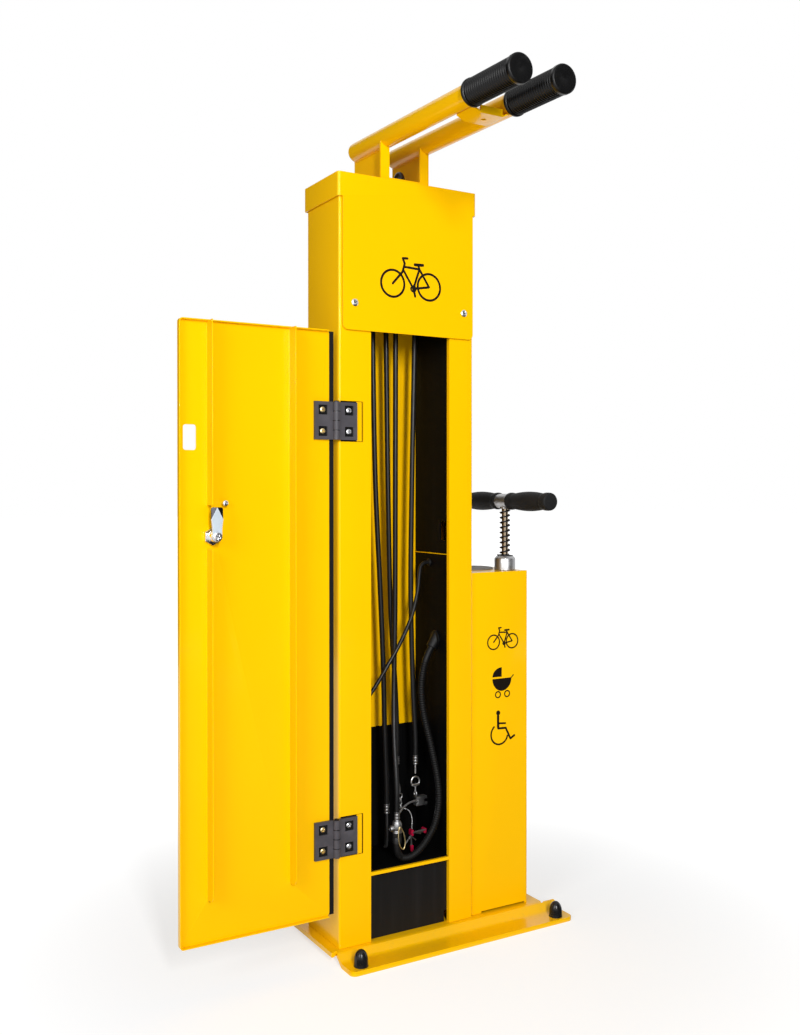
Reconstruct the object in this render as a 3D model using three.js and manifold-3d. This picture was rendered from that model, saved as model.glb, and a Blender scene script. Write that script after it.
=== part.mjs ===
// Bicycle repair station: a sheet-metal tool column with a door, two hanging arms and a floor pump.
//
// Millimetres, +Z up. X runs to the right and Y to the back. The origin is on the floor, in the column's
// middle plane, on the line of the front floor anchors.

import * as THREE from 'three';
import { mergeVertices } from 'three/addons/utils/BufferGeometryUtils.js';
import Module from 'manifold-3d';

const wasm = await Module();
wasm.setup();

// General clearances and counts
const seat_gap = 0.3;
const wall_gap = 0.5;
const cut_overrun = 2;
const merge_tolerance = 1e-4;
const fine_sides = 24;
const round_sides = 16;
const small_sides = 10;
const corner_steps = 3;
const dome_steps = 4;

// Base plate with two long feet
const plate_thickness = 8;
const plate_clearance = 12;
const plate_left_reach = 17;
const plate_right_reach = 150;
const plate_front_reach = 6;
const plate_back_reach = 45;
const foot_left_reach = 9;
const foot_right_reach = 177;
const foot_depth = 35.6;
const foot_corner_radius = 10;
const foot_slope_run = 22;
const foot_slope_steps = 6;
const relief_width = 5;
const anchor_edge_distance = 15.6;
const anchor_left_inset = 24;
const anchor_right_inset = 28;
const anchor_hole_radius = 6.5;
const floor_cap_radius = 12;
const floor_cap_skirt = 9;
const floor_cap_height = 27;

// Column
const column_setback = 48;
const column_width = 265;
const column_depth = 120;
const column_sheet = 2;
const column_corner_radius = 3.5;
const jamb_left_width = 60;
const jamb_right_width = 49;
const jamb_return_depth = 8;
const opening_top = 1060;

// Lid and its apron
const lid_top = 1300;
const lid_sheet = 2.5;
const lid_skirt = 40;
const lid_side_overhang = 4;
const lid_front_overhang = 5;
const lid_back_overhang = 5;
const lid_corner_radius = 5;
const apron_left_inset = 5;
const apron_right_inset = 3;
const apron_bottom = 1042;
const apron_corner_radius = 9;
const apron_screw_rise = 45;
const apron_screw_left_inset = 26.7;
const apron_screw_right_inset = 22.3;
const apron_screw_head_radius = 6;
const apron_screw_head_height = 2.4;
const apron_screw_shank_radius = 2.5;
const apron_screw_length = 9;

// Inside of the column
const kick_setback = 8;
const kick_sheet = 2;
const kick_side_gap = 1.5;
const kick_notch_width = 5;
const kick_notch_height = 20;
const shelf_height = 136;
const shelf_sheet = 2;
const shelf_lip = 5.5;
const shelf_side_gap = 0.3;
const back_liner_top = 351;
const liner_sheet = 2;
const side_liner_seam = 665;
const side_liner_seam_gap = 2;
const side_liner_top = 1200;
const cam_slot_depth = 24;
const cam_slot_height = 34;
const cable_rail_drop = 137.5;
const cable_rail_depth = 34;
const cable_rail_web = 22;
const cable_rail_sheet = 3;

// Door, standing open at 180 degrees
const door_sheet = 2;
const door_hinge_gap = 16.9;
const door_width = 256.1;
const door_bottom = 78.7;
const door_top = 1038.5;
const door_edge_flange = 8;
const door_corner_radius = 6;
const stiffener_depth = 23;
const stiffener_bottom = 146;
const stiffener_end_radius = 14;
const stiffener_left_inset = 46.5;
const stiffener_right_inset = 68.8;
const cam_notch_below = 19;
const cam_notch_above = 48;
const hand_hole_width = 20.5;
const hand_hole_height = 39;
const hand_hole_radius = 4;
const hand_hole_inset = 8.5;
const hand_hole_centre_height = 858;

// Hinges
const hinge_axis_side = 6.4;
const hinge_axis_front = 3.5;
const hinge_knuckle_radius = 6;
const hinge_pin_radius = 2.5;
const hinge_pin_head_radius = 4;
const hinge_pin_head_height = 1.5;
const hinge_pin_play = 0.25;
const hinge_height = 62;
const hinge_leaf_reach = 39;
const hinge_leaf_thickness = 5;
const hinge_web_overlap = 1;
const hinge_knuckle_count = 4;
const hinge_pocket_width = 16;
const hinge_pocket_depth = 2.5;
const hinge_pocket_reach = 24;
const hinge_pocket_spread = 35;
const hinge_upper_height = 891;
const hinge_lower_height = 205;
const hinge_window_reach = 45;
const hinge_window_margin = 2.6;
const hinge_backing_width = 29;
const hinge_backing_thickness = 3;
const hinge_backing_margin = 8;

// Lock and its cam
const lock_inset = 54;
const lock_height = 706;
const lock_nut_flats = 24.5;
const lock_nut_thickness = 6;
const lock_barrel_radius = 8.4;
const lock_cam_offset = 22;
const lock_cam_thickness = 3;
const lock_cam_width = 19;
const lock_cam_reach = 45;
const lock_cam_tip_bevel = 4;
const lock_spigot_radius = 4;
const lock_cam_play = 0.3;
const stop_stud_inset = 73;
const stop_stud_rise = 51;
const stop_stud_radius = 5;
const stop_stud_head = 4;
const stop_stud_neck_radius = 3;
const stop_stud_reach = 11;

// Pump box and pump
const pump_box_gap = 1;
const pump_box_width = 125;
const pump_box_setback = 5;
const pump_box_depth = 150;
const pump_box_top = 630.5;
const pump_box_sheet = 2;
const pump_box_corner_radius = 4;
const pump_box_tab_width = 22;
const pump_box_tab_right_width = 7;
const pump_box_slot_height = 3;
const pump_inset = 30;
const pump_setback = 30;
const cylinder_radius = 17;
const cylinder_wall = 2;
const cylinder_floor = 6;
const collar_radius = 19.4;
const collar_height = 26.5;
const collar_chamfer = 5;
const collar_neck_radius = 12.7;
const collar_neck_length = 16;
const rod_radius = 6;
const rod_play = 0.4;
const rod_foot_height = 60;
const piston_height = 22;
const piston_play = 0.4;
const spring_radius = 10;
const spring_wire_radius = 1.25;
const spring_curls = 9;
const handle_height = 757.5;
const hub_radius = 13.5;
const hub_half_length = 17;
const hub_boss_radius = 9;
const hub_boss_depth = 14.2;
const hub_socket_depth = 8;
const handle_bar_radius = 8;
const handle_half_length = 135;
const handle_grip_radius = 17.5;
const handle_grip_waist = 14;
const handle_grip_end_radius = 10.5;
const handle_grip_end_wall = 6;
const plug_radius = 42;
const plug_setback = 90;
const plug_left_inset = 59;
const plug_thickness = 3;
const plug_stem_radius = 37;
const plug_stem_depth = 5;

// Hanging arms
const arm_spread = 77.6;
const arm_radius = 17;
const arm_wall = 2.5;
const arm_end_round_share = 0.35;
const arm_end_bevel_share = 0.3;
const arm_axis_rise = 72.6;
const arm_slope = 0.0294;
const arm_back_end = 118;
const arm_front_end = 366;
const arm_grip_length = 120;
const arm_grip_radius = 20.5;
const arm_grip_ring_radius = 21.5;
const arm_grip_ring_width = 5;
const arm_grip_disc = 3;
const bracket_plate = 4;
const bracket_depth = 118;
const bracket_flange = 15;
const strap_back = 200;
const strap_front = 245;
const strap_thickness = 3;
const strap_drop = 25;
const strap_flat_half_width = 20;
const strap_wing_half_width = 34;
const strap_wing_rise = 6.5;
const strap_lip = 12;
const strap_hole_radius = 4;
const bracket_nut_setback = 30;
const bracket_nut_spacing = 58;
const bracket_nut_radius = 10;
const bracket_nut_skirt = 8;
const bracket_nut_height = 22;

// Cables, hose and tools
const cable_radius = 4.5;
const stay_radius = 3.5;
const cable_section_sides = 8;
const cable_steps = 39;
const stay_steps = 24;
const hose_radius = 6.2;
const hose_rib_depth = 0.9;
const hose_bore_radius = 3.6;
const hose_sides = 8;
const hose_rib_pitch = 5;
const hose_rings_per_bore_ring = 10;
const spring_sides = 5;
const spring_steps_per_curl = 8;
const hose_gland_flange_radius = 14;
const hose_gland_flange_thickness = 3;
const hose_gland_radius = 9.5;
const hose_gland_length = 11;
const stay_gland_radius = 7;
const stay_gland_tip_radius = 4.5;
const stay_clip_width = 14;
const stay_clip_height = 12;
const link_radius = 1.6;
const link_ring_radius = 7;
const ferrule_radius = 5;
const ferrule_length = 16;
const lever_blade_width = 11;
const lever_blade_thickness = 4;
const lever_blade_length = 62;
const lever_hook_width = 16;
const lever_hook_height = 10;
const key_swivel_shift = 6;
const key_swivel_drop = 72;
const key_holder_shift = 27;
const key_holder_lean = 26;
const key_holder_drop = 131;
const key_holder_width = 32;
const key_holder_depth = 14;
const key_holder_height = 16;
const key_blade_width = 4;
const key_blade_drop = 26;
const shackle_drop = 48;
const jaw_shift = 10;
const jaw_drop = 82;
const jaw_width = 22;
const jaw_depth = 14;
const jaw_height = 16;
const jaw_neck_radius = 2.4;
const spanner_handle_radius = 2.7;
const spanner_handle_shift = 41;
const spanner_handle_lean = 10;
const spanner_handle_drop = 97;
const pump_head_sleeve_wall = 1.8;
const pump_head_sleeve_length = 14;
const pump_head_radius = 8.5;
const pump_head_length = 24;
const pump_head_nozzle_radius = 5.5;
const pump_head_nozzle_reach = 14;
const pump_head_lever_radius = 3;
const pump_head_lever_spread = 14;
const pump_head_lever_length = 38;
const lock_screw_radius = 7;
const lock_screw_thickness = 2.5;

// Lines and planes that the pieces share
const column_front = column_setback;
const column_back = column_front + column_depth;
const column_left = -column_width / 2;
const column_right = column_width / 2;
const opening_left = column_left + jamb_left_width;
const opening_right = column_right - jamb_right_width;
const plate_top = plate_clearance + plate_thickness;
const plate_left = column_left - plate_left_reach;
const plate_right = column_right + plate_right_reach;
const plate_front = column_front - plate_front_reach;
const plate_back = column_back + plate_back_reach;
const foot_left = column_left - foot_left_reach;
const foot_right = column_right + foot_right_reach;
const front_foot_edge = -anchor_edge_distance;
const front_foot_run = plate_front - foot_slope_run - front_foot_edge;
const back_foot_edge = plate_back + foot_slope_run + foot_depth;
const back_anchor_line = back_foot_edge - anchor_edge_distance;
const lid_inside_top = lid_top - lid_sheet;
const apron_front = column_front - lid_front_overhang;
const apron_back = apron_front + lid_sheet;
const shelf_underside = shelf_height - shelf_sheet;
const cable_rail_height = lid_inside_top - cable_rail_drop;
const liner_back = column_back - column_sheet - wall_gap;
const column_inside_left = column_left + column_sheet + wall_gap;
const side_liner_face = opening_right + column_sheet;
const door_axis_x = column_left - hinge_axis_side;
const door_axis_y = column_front - hinge_axis_front;
const door_face = column_front + column_sheet;
const door_right = column_left - door_hinge_gap;
const door_left = door_right - door_width;
const lock_x = door_left + lock_inset;
const cam_front = door_face - lock_cam_offset - lock_cam_thickness;
const pump_box_left = column_right + pump_box_gap;
const pump_box_right = pump_box_left + pump_box_width;
const pump_box_front = column_front + pump_box_setback;
const pump_box_back = pump_box_front + pump_box_depth;
const pump_x = pump_box_right - pump_inset;
const pump_y = pump_box_front + pump_setback;
const collar_bottom = pump_box_top + seat_gap;
const collar_top = collar_bottom + collar_height;
const arm_centre_rise = lid_top + arm_axis_rise;

// Finishes
const finish = (colour, roughness, metalness) => new THREE.MeshStandardMaterial({
  color: new THREE.Color(colour),
  roughness,
  metalness,
});
const yellow_paint = finish('#f6c000', 0.35, 0);
const black_sheet = finish('#17181a', 0.55, 0);
const black_plastic = finish('#1b1c1e', 0.45, 0);
const black_rubber = finish('#1e1e20', 0.75, 0);
const bright_steel = finish('#c6c8ca', 0.25, 1);
const spring_steel = finish('#5c5f62', 0.35, 1);
const red_plastic = finish('#b3122a', 0.4, 0);

// Turns a closed three.js geometry into a solid, without the thin triangles that a lathe leaves at poles.
function solid(geometry) {
  const bare = geometry.clone();
  bare.deleteAttribute('normal');
  bare.deleteAttribute('uv');
  const merged = mergeVertices(bare, merge_tolerance);
  const corners = merged.index.array;
  const kept = [];
  for (let i = 0; i < corners.length; i += 3) {
    const [a, b, c] = [corners[i], corners[i + 1], corners[i + 2]];
    if (a !== b && b !== c && c !== a) {
      kept.push(a, b, c);
    }
  }
  return new wasm.Manifold(new wasm.Mesh({
    numProp: 3,
    vertProperties: new Float32Array(merged.attributes.position.array),
    triVerts: new Uint32Array(kept),
  }));
}

// Turns a solid back into a geometry with flat-shaded faces.
function geometry_of(body) {
  const mesh = body.getMesh();
  const geometry = new THREE.BufferGeometry();
  geometry.setAttribute('position', new THREE.BufferAttribute(new Float32Array(mesh.vertProperties), 3));
  geometry.setIndex(new THREE.BufferAttribute(new Uint32Array(mesh.triVerts), 1));
  geometry.computeVertexNormals();
  return geometry;
}

const join = (first, ...others) => others.reduce((whole, other) => whole.add(other), first);
const cut = (first, ...others) => others.reduce((whole, other) => whole.subtract(other), first);

// A block between two corners.
function block(x0, x1, y0, y1, z0, z1) {
  const geometry = new THREE.BoxGeometry(x1 - x0, y1 - y0, z1 - z0);
  geometry.translate((x0 + x1) / 2, (y0 + y1) / 2, (z0 + z1) / 2);
  return solid(geometry);
}

// Places a geometry made along +Z so that it starts at a point and runs along a direction.
function aimed(geometry, start, direction) {
  const turn = new THREE.Quaternion().setFromUnitVectors(
    new THREE.Vector3(0, 0, 1),
    new THREE.Vector3(...direction).normalize(),
  );
  geometry.applyQuaternion(turn);
  geometry.translate(...start);
  return solid(geometry);
}

// A body of revolution: pairs of radius and height, closed or ending on the axis, along a direction.
function turned(profile, start, direction = [0, 0, 1], sides = round_sides) {
  const points = profile.map(([radius, height]) => new THREE.Vector2(radius, height));
  const geometry = new THREE.LatheGeometry(points, sides);
  geometry.rotateX(Math.PI / 2);
  return aimed(geometry, start, direction);
}

// A plain cylinder from a point along a direction.
function bar(radius, length, start, direction = [0, 0, 1], sides = round_sides) {
  return turned([[0, 0], [radius, 0], [radius, length], [0, length]], start, direction, sides);
}

// A straight round rod between two points.
function strut(radius, from, to, sides = small_sides) {
  const span = new THREE.Vector3(...to).sub(new THREE.Vector3(...from));
  return bar(radius, span.length(), from, span.toArray(), sides);
}

// A ring with a round section, round an axis along a direction.
function ring(radius, wire, centre, direction) {
  const geometry = new THREE.TorusGeometry(radius, wire, cable_section_sides, small_sides);
  return aimed(geometry, centre, direction);
}

// An outline with rounded corners.
function rounded_outline(x0, x1, y0, y1, radius) {
  const shape = new THREE.Shape();
  shape.moveTo(x0 + radius, y0);
  shape.lineTo(x1 - radius, y0);
  shape.absarc(x1 - radius, y0 + radius, radius, -Math.PI / 2, 0, false);
  shape.absarc(x1 - radius, y1 - radius, radius, 0, Math.PI / 2, false);
  shape.absarc(x0 + radius, y1 - radius, radius, Math.PI / 2, Math.PI, false);
  shape.absarc(x0 + radius, y0 + radius, radius, Math.PI, 3 * Math.PI / 2, false);
  return shape;
}

const extruded = (shape, depth) => new THREE.ExtrudeGeometry(shape, {
  depth,
  bevelEnabled: false,
  curveSegments: corner_steps,
});

// An outline in X and Y, raised from one height to another.
function raised(shape, z0, z1) {
  const geometry = extruded(shape, z1 - z0);
  geometry.translate(0, 0, z0);
  return solid(geometry);
}

// An outline in X and Z, carried from y0 back to y1.
function carried_back(shape, y0, y1) {
  const geometry = extruded(shape, y1 - y0);
  geometry.applyMatrix4(new THREE.Matrix4().makeBasis(
    new THREE.Vector3(1, 0, 0),
    new THREE.Vector3(0, 0, 1),
    new THREE.Vector3(0, -1, 0),
  ));
  geometry.translate(0, y1, 0);
  return solid(geometry);
}

// An outline in Y and Z, carried from x0 to x1.
function carried_across(shape, x0, x1) {
  const geometry = extruded(shape, x1 - x0);
  geometry.applyMatrix4(new THREE.Matrix4().makeBasis(
    new THREE.Vector3(0, 1, 0),
    new THREE.Vector3(0, 0, 1),
    new THREE.Vector3(1, 0, 0),
  ));
  geometry.translate(x0, 0, 0);
  return solid(geometry);
}

const polygon = (points) => new THREE.Shape(points.map(([a, b]) => new THREE.Vector2(a, b)));

// A dome cap: a straight skirt under half an ellipse.
function dome(radius, skirt, height, start) {
  const profile = [[0, 0], [radius, 0], [radius, skirt]];
  for (let i = 1; i < dome_steps; i += 1) {
    const angle = i / dome_steps * Math.PI / 2;
    profile.push([radius * Math.cos(angle), skirt + (height - skirt) * Math.sin(angle)]);
  }
  profile.push([0, height]);
  return turned(profile, start);
}

// A plain cord along a smooth curve through its points.
function cord(points, radius, steps) {
  const section = new THREE.Shape();
  for (let i = 0; i < cable_section_sides; i += 1) {
    const angle = i / cable_section_sides * 2 * Math.PI;
    const place = [radius * Math.cos(angle), radius * Math.sin(angle)];
    if (i === 0) {
      section.moveTo(...place);
    } else {
      section.lineTo(...place);
    }
  }
  const places = points.map((point) => new THREE.Vector3(...point));
  const path = new THREE.CatmullRomCurve3(places, false, 'centripetal');
  return solid(new THREE.ExtrudeGeometry(section, { steps, extrudePath: path, bevelEnabled: false }));
}

// Rings of points round a path: each ring has its centre, two directions across the path, and a radius.
function ring_points(stations, sides) {
  const points = [];
  for (const { centre, across, other, radius } of stations) {
    for (let i = 0; i < sides; i += 1) {
      const angle = i / sides * 2 * Math.PI;
      points.push(centre.clone()
        .addScaledVector(across, radius * Math.cos(angle))
        .addScaledVector(other, radius * Math.sin(angle)));
    }
  }
  return points;
}

// The triangles of a skin over rings, outward or inward, with ring numbers counted from a first point.
function skin_faces(count, sides, first, inward) {
  const faces = [];
  for (let r = 0; r + 1 < count; r += 1) {
    for (let i = 0; i < sides; i += 1) {
      const a = first + r * sides + i;
      const b = first + r * sides + (i + 1) % sides;
      const c = a + sides;
      const d = b + sides;
      if (inward) {
        faces.push(a, c, b, b, c, d);
      } else {
        faces.push(a, b, c, b, d, c);
      }
    }
  }
  return faces;
}

function indexed_solid(points, faces) {
  const geometry = new THREE.BufferGeometry();
  const places = new Float32Array(points.flatMap((point) => point.toArray()));
  geometry.setAttribute('position', new THREE.BufferAttribute(places, 3));
  geometry.setIndex(faces);
  return solid(geometry);
}

const meshes = new THREE.Group();
meshes.name = 'bicycle_repair_station';

function add(name, body, material) {
  const mesh = new THREE.Mesh(geometry_of(body), material);
  mesh.name = name;
  meshes.add(mesh);
}

// Base: a raised plate whose front and back edges bend down to feet on the floor
function foot(edge, slope_foot, slope_top) {
  const outline = [[edge, 0], [slope_foot, 0]];
  const top = [];
  for (let i = 1; i <= foot_slope_steps; i += 1) {
    const share = i / foot_slope_steps;
    const rise = plate_clearance * (1 - Math.cos(share * Math.PI)) / 2;
    const y = slope_foot + (slope_top - slope_foot) * share;
    outline.push([y, rise]);
    top.unshift([y, rise + plate_thickness]);
  }
  outline.push(...top, [slope_foot, plate_thickness], [edge, plate_thickness]);
  const near = Math.min(edge, slope_top);
  const far = Math.max(edge, slope_top);
  const forward = edge < slope_top;
  const corners = rounded_outline(
    foot_left,
    foot_right,
    near - (forward ? 0 : foot_corner_radius + cut_overrun),
    far + (forward ? foot_corner_radius + cut_overrun : 0),
    foot_corner_radius,
  );
  const strip = carried_across(polygon(outline), foot_left, foot_right);
  return strip.intersect(raised(corners, -cut_overrun, plate_top));
}

const anchor_places = [];
for (const y of [0, back_anchor_line]) {
  anchor_places.push([foot_left + anchor_left_inset, y]);
  anchor_places.push([foot_right - anchor_right_inset, y]);
}

let base_plate = join(
  block(plate_left, plate_right, plate_front, plate_back, plate_clearance, plate_top),
  foot(front_foot_edge, front_foot_edge + front_foot_run, plate_front),
  foot(back_foot_edge, back_foot_edge - foot_depth, plate_back),
);
for (const [x, y] of anchor_places) {
  const drill = bar(anchor_hole_radius, plate_thickness + 2 * cut_overrun, [x, y, -cut_overrun]);
  base_plate = cut(base_plate, drill);
}
for (const x of [foot_left, plate_right]) {
  for (const y of [plate_front, plate_back]) {
    base_plate = cut(base_plate, block(
      x - relief_width / 2,
      x + relief_width / 2,
      y - relief_width / 2,
      y + relief_width / 2,
      -cut_overrun,
      plate_top + cut_overrun,
    ));
  }
}
add('base_plate', base_plate, yellow_paint);

const cap_names = [
  'floor_cap_front_left',
  'floor_cap_front_right',
  'floor_cap_back_left',
  'floor_cap_back_right',
];
anchor_places.forEach(([x, y], i) => {
  const seat = [x, y, plate_thickness + seat_gap];
  add(cap_names[i], dome(floor_cap_radius, floor_cap_skirt, floor_cap_height, seat), black_plastic);
});

// Column: a folded sheet open at the front, with a return along each jamb and a window for each hinge
function column() {
  const bottom = plate_top + seat_gap;
  const top = lid_inside_top - seat_gap;
  const outer = rounded_outline(column_left, column_right, column_front, column_back, column_corner_radius);
  const inner = rounded_outline(
    column_left + column_sheet,
    column_right - column_sheet,
    column_front + column_sheet,
    column_back - column_sheet,
    column_corner_radius - column_sheet,
  );
  let shell = cut(
    raised(outer, bottom, top),
    raised(inner, bottom - cut_overrun, top + cut_overrun),
    block(opening_left, opening_right, column_front - cut_overrun, column_front + column_sheet + cut_overrun,
      bottom - cut_overrun, opening_top),
  );
  shell = join(
    shell,
    block(opening_left - column_sheet, opening_left, column_front, column_front + jamb_return_depth, bottom,
      opening_top),
    block(opening_right, opening_right + column_sheet, column_front, column_front + jamb_return_depth,
      bottom, opening_top),
  );
  for (const height of [hinge_upper_height, hinge_lower_height]) {
    const reach = hinge_height / 2 + hinge_window_margin;
    shell = cut(shell, block(
      column_left - cut_overrun,
      column_left + hinge_window_reach,
      column_front - cut_overrun,
      column_front + column_sheet + seat_gap,
      height - reach,
      height + reach,
    ));
  }
  for (const x of apron_screw_places) {
    shell = cut(shell, bar(apron_screw_shank_radius + seat_gap, column_sheet + 2 * cut_overrun,
      [x, column_front - cut_overrun, apron_bottom + apron_screw_rise], [0, 1, 0], small_sides));
  }
  return shell;
}

const apron_screw_places = [column_left + apron_screw_left_inset, column_right - apron_screw_right_inset];
add('column_shell', column(), yellow_paint);

// Lid: a shallow cap whose front skirt runs on down as an apron
function lid() {
  const left = column_left - lid_side_overhang;
  const right = column_right + lid_side_overhang;
  const back = column_back + lid_back_overhang;
  const outer = rounded_outline(left, right, apron_front, back, lid_corner_radius);
  const inner = rounded_outline(left + lid_sheet, right - lid_sheet, apron_back, back - lid_sheet,
    lid_corner_radius - lid_sheet);
  const apron_left = column_left + apron_left_inset;
  const apron_right = column_right - apron_right_inset;
  const apron_top = lid_top - lid_skirt / 2;
  const apron = rounded_outline(apron_left, apron_right, apron_bottom, apron_top, apron_corner_radius);
  const skirt_bottom = lid_top - lid_skirt;
  let shell = join(
    cut(raised(outer, skirt_bottom, lid_top), raised(inner, skirt_bottom - cut_overrun, lid_inside_top)),
    carried_back(apron, apron_front, apron_back),
  );
  for (const x of apron_screw_places) {
    shell = cut(shell, bar(apron_screw_shank_radius + seat_gap, lid_sheet + 2 * cut_overrun,
      [x, apron_front - cut_overrun, apron_bottom + apron_screw_rise], [0, 1, 0], small_sides));
  }
  return shell;
}
add('lid', lid(), yellow_paint);

const screw_names = ['apron_screw_left', 'apron_screw_right'];
apron_screw_places.forEach((x, i) => {
  const start = [x, apron_front - seat_gap - apron_screw_head_height, apron_bottom + apron_screw_rise];
  const shank_end = apron_screw_head_height + apron_screw_length;
  add(screw_names[i], turned([
    [0, 0],
    [apron_screw_head_radius / 2, 0],
    [apron_screw_head_radius, apron_screw_head_height],
    [apron_screw_shank_radius, apron_screw_head_height],
    [apron_screw_shank_radius, shank_end],
    [0, shank_end],
  ], start, [0, 1, 0], small_sides), bright_steel);
});

// Panels inside the column
const kick_left = opening_left + kick_side_gap;
const kick_right = opening_right - seat_gap;
const kick_top = shelf_underside - seat_gap;
const kick_front = column_front + kick_setback + seat_gap;
add('kick_panel', cut(
  block(kick_left, kick_right, kick_front, kick_front + kick_sheet, plate_top + seat_gap, kick_top),
  block(kick_right - kick_notch_width, kick_right + cut_overrun, column_front, column_back, plate_clearance,
    plate_top + kick_notch_height),
), black_sheet);

const shelf_left = opening_left + shelf_side_gap;
const shelf_right = opening_right - shelf_side_gap;
const behind_jambs = column_front + jamb_return_depth + seat_gap;
add('tool_shelf', join(
  block(shelf_left, shelf_right, column_front, behind_jambs + shelf_sheet, shelf_underside, shelf_height),
  block(shelf_left, shelf_right, column_front, column_front + shelf_sheet, shelf_height - shelf_lip,
    shelf_height),
  block(column_inside_left, side_liner_face - seat_gap, behind_jambs, liner_back, shelf_underside,
    shelf_height),
), yellow_paint);

add('back_liner', block(column_inside_left, side_liner_face - seat_gap, liner_back - liner_sheet,
  liner_back, shelf_height + seat_gap, back_liner_top), black_sheet);

// Cable routes, from the rail down to the tools
const rail_underside = cable_rail_height - seat_gap;
const hose_points = [
  [76.2, 96, 497.2], [69.6, 95.6, 486.4], [62.3, 94.8, 471], [56.3, 93.6, 450], [53, 92, 425],
  [54.5, 90, 395], [61, 88.5, 362], [69, 87, 330], [75, 84, 298], [78, 79, 272], [78.3, 74, 247],
  [77.4, 71.8, 228], [73.2, 70, 207.7], [66, 68.6, 188.6], [54, 67, 171.6], [38.7, 65.2, 156.8],
  [22.9, 63.4, 147], [8.2, 62.4, 143.2], [-4.6, 62, 145.8], [-12, 62, 154.6], [-14, 62, 165], [-14, 62, 172],
];
const stay_points = [
  [81, 116, 647.5], [75, 116, 647.5], [66.5, 114.5, 642], [60.5, 110.5, 628], [53, 103.5, 600],
  [33.4, 94.5, 552], [8.4, 90, 510], [-14.4, 90, 476], [-44.5, 94, 431], [-75, 101, 394], [-98, 107, 374],
  [-109, 109, 368], [-116, 109, 368],
];
const lever_cable_points = [
  [-36, 110, rail_underside], [-36, 110, 1120], [-35, 110, 1040], [-30, 110, 800], [-21.5, 109, 620],
  [-15.2, 108, 470], [-12.6, 107, 350], [-9.5, 106, 252], [-9.5, 106, 228],
];
const key_cable_points = [
  [-3.6, 120, rail_underside], [-3.6, 120, 1120], [-2.6, 120, 1040], [1.7, 120, 760], [7, 120, 560],
  [16, 119, 420], [18.6, 118, 335], [18.6, 118, 306],
];
const pump_head_cable_points = [
  [7.5, 104, rail_underside], [7.5, 104, 1120], [7.5, 104, 1040], [7, 104, 800], [5.6, 103, 560],
  [-0.5, 96, 430], [-9.1, 80, 350], [-14, 62, 262], [-14, 62, 226],
];
const spanner_cable_points = [
  [49.6, 108, rail_underside], [49.6, 108, 1120], [48.6, 108, 1040], [42.8, 108, 760], [41, 108, 600],
  [45.2, 108, 440], [50.6, 108, 335], [50.6, 108, 306],
];
const last = (points) => points[points.length - 1];

// Side liners: two lengths, the upper one with a slot for the lock cam, the lower one with two gland holes
const liner_front = behind_jambs + seat_gap;
const hose_exit = hose_points[0];
const hose_direction = new THREE.Vector3(...hose_exit)
  .sub(new THREE.Vector3(...hose_points[1]))
  .normalize();
const hose_gland_share = (side_liner_face - hose_exit[0]) / hose_direction.x;
const hose_gland_centre = [
  side_liner_face,
  hose_exit[1] + hose_direction.y * hose_gland_share,
  hose_exit[2] + hose_direction.z * hose_gland_share,
];
add('side_liner_lower', cut(
  block(side_liner_face, side_liner_face + liner_sheet, liner_front, liner_back, shelf_height + seat_gap,
    side_liner_seam - side_liner_seam_gap / 2),
  bar(hose_gland_radius, liner_sheet + 2 * cut_overrun,
    [side_liner_face - cut_overrun, hose_gland_centre[1], hose_gland_centre[2]], [1, 0, 0]),
  bar(stay_gland_radius / 2, liner_sheet + 2 * cut_overrun,
    [side_liner_face - cut_overrun, stay_points[0][1], stay_points[0][2]], [1, 0, 0], small_sides),
), black_sheet);
add('side_liner_upper', cut(
  block(side_liner_face, side_liner_face + liner_sheet, liner_front, liner_back,
    side_liner_seam + side_liner_seam_gap / 2, side_liner_top),
  block(side_liner_face - cut_overrun, side_liner_face + liner_sheet + cut_overrun,
    liner_front - cut_overrun, liner_front + cam_slot_depth,
    lock_height - cam_slot_height / 2, lock_height + cam_slot_height / 2),
), black_sheet);

// Rail that carries the cables: an angle from wall to wall
const rail_front = key_cable_points[0][1] - cable_rail_depth / 2;
const rail_back = rail_front + cable_rail_depth;
add('cable_rail', join(
  block(column_inside_left, side_liner_face - seat_gap, rail_front, rail_back, cable_rail_height,
    cable_rail_height + cable_rail_sheet),
  block(column_inside_left, side_liner_face - seat_gap, rail_back - cable_rail_sheet, rail_back,
    cable_rail_height - cable_rail_web, cable_rail_height + cable_rail_sheet),
), bright_steel);

add('lever_cable', cord(lever_cable_points, cable_radius, cable_steps), black_rubber);
add('key_cable', cord(key_cable_points, cable_radius, cable_steps), black_rubber);
add('pump_head_cable', cord(pump_head_cable_points, cable_radius, cable_steps), black_rubber);
add('spanner_cable', cord(spanner_cable_points, cable_radius, cable_steps), black_rubber);

// Tyre lever: a ferrule and a flat bar with a hooked end
function tyre_lever() {
  const [x, y, z] = last(lever_cable_points);
  const top = z - seat_gap;
  const shoulder = top - ferrule_length;
  const tip = shoulder - lever_blade_length;
  const half_width = lever_blade_width / 2;
  const blade = polygon([
    [x - half_width, shoulder + lever_blade_thickness],
    [x - half_width, tip + lever_hook_height],
    [x - lever_hook_width, tip + lever_hook_height / 2],
    [x - lever_hook_width, tip],
    [x + half_width, tip],
    [x + half_width, shoulder + lever_blade_thickness],
  ]);
  return join(
    ferrule([x, y, top]),
    carried_back(blade, y - lever_blade_thickness / 2, y + lever_blade_thickness / 2),
  );
}

function ferrule([x, y, top]) {
  return bar(ferrule_radius, ferrule_length, [x, y, top], [0, 0, -1], small_sides);
}

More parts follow.
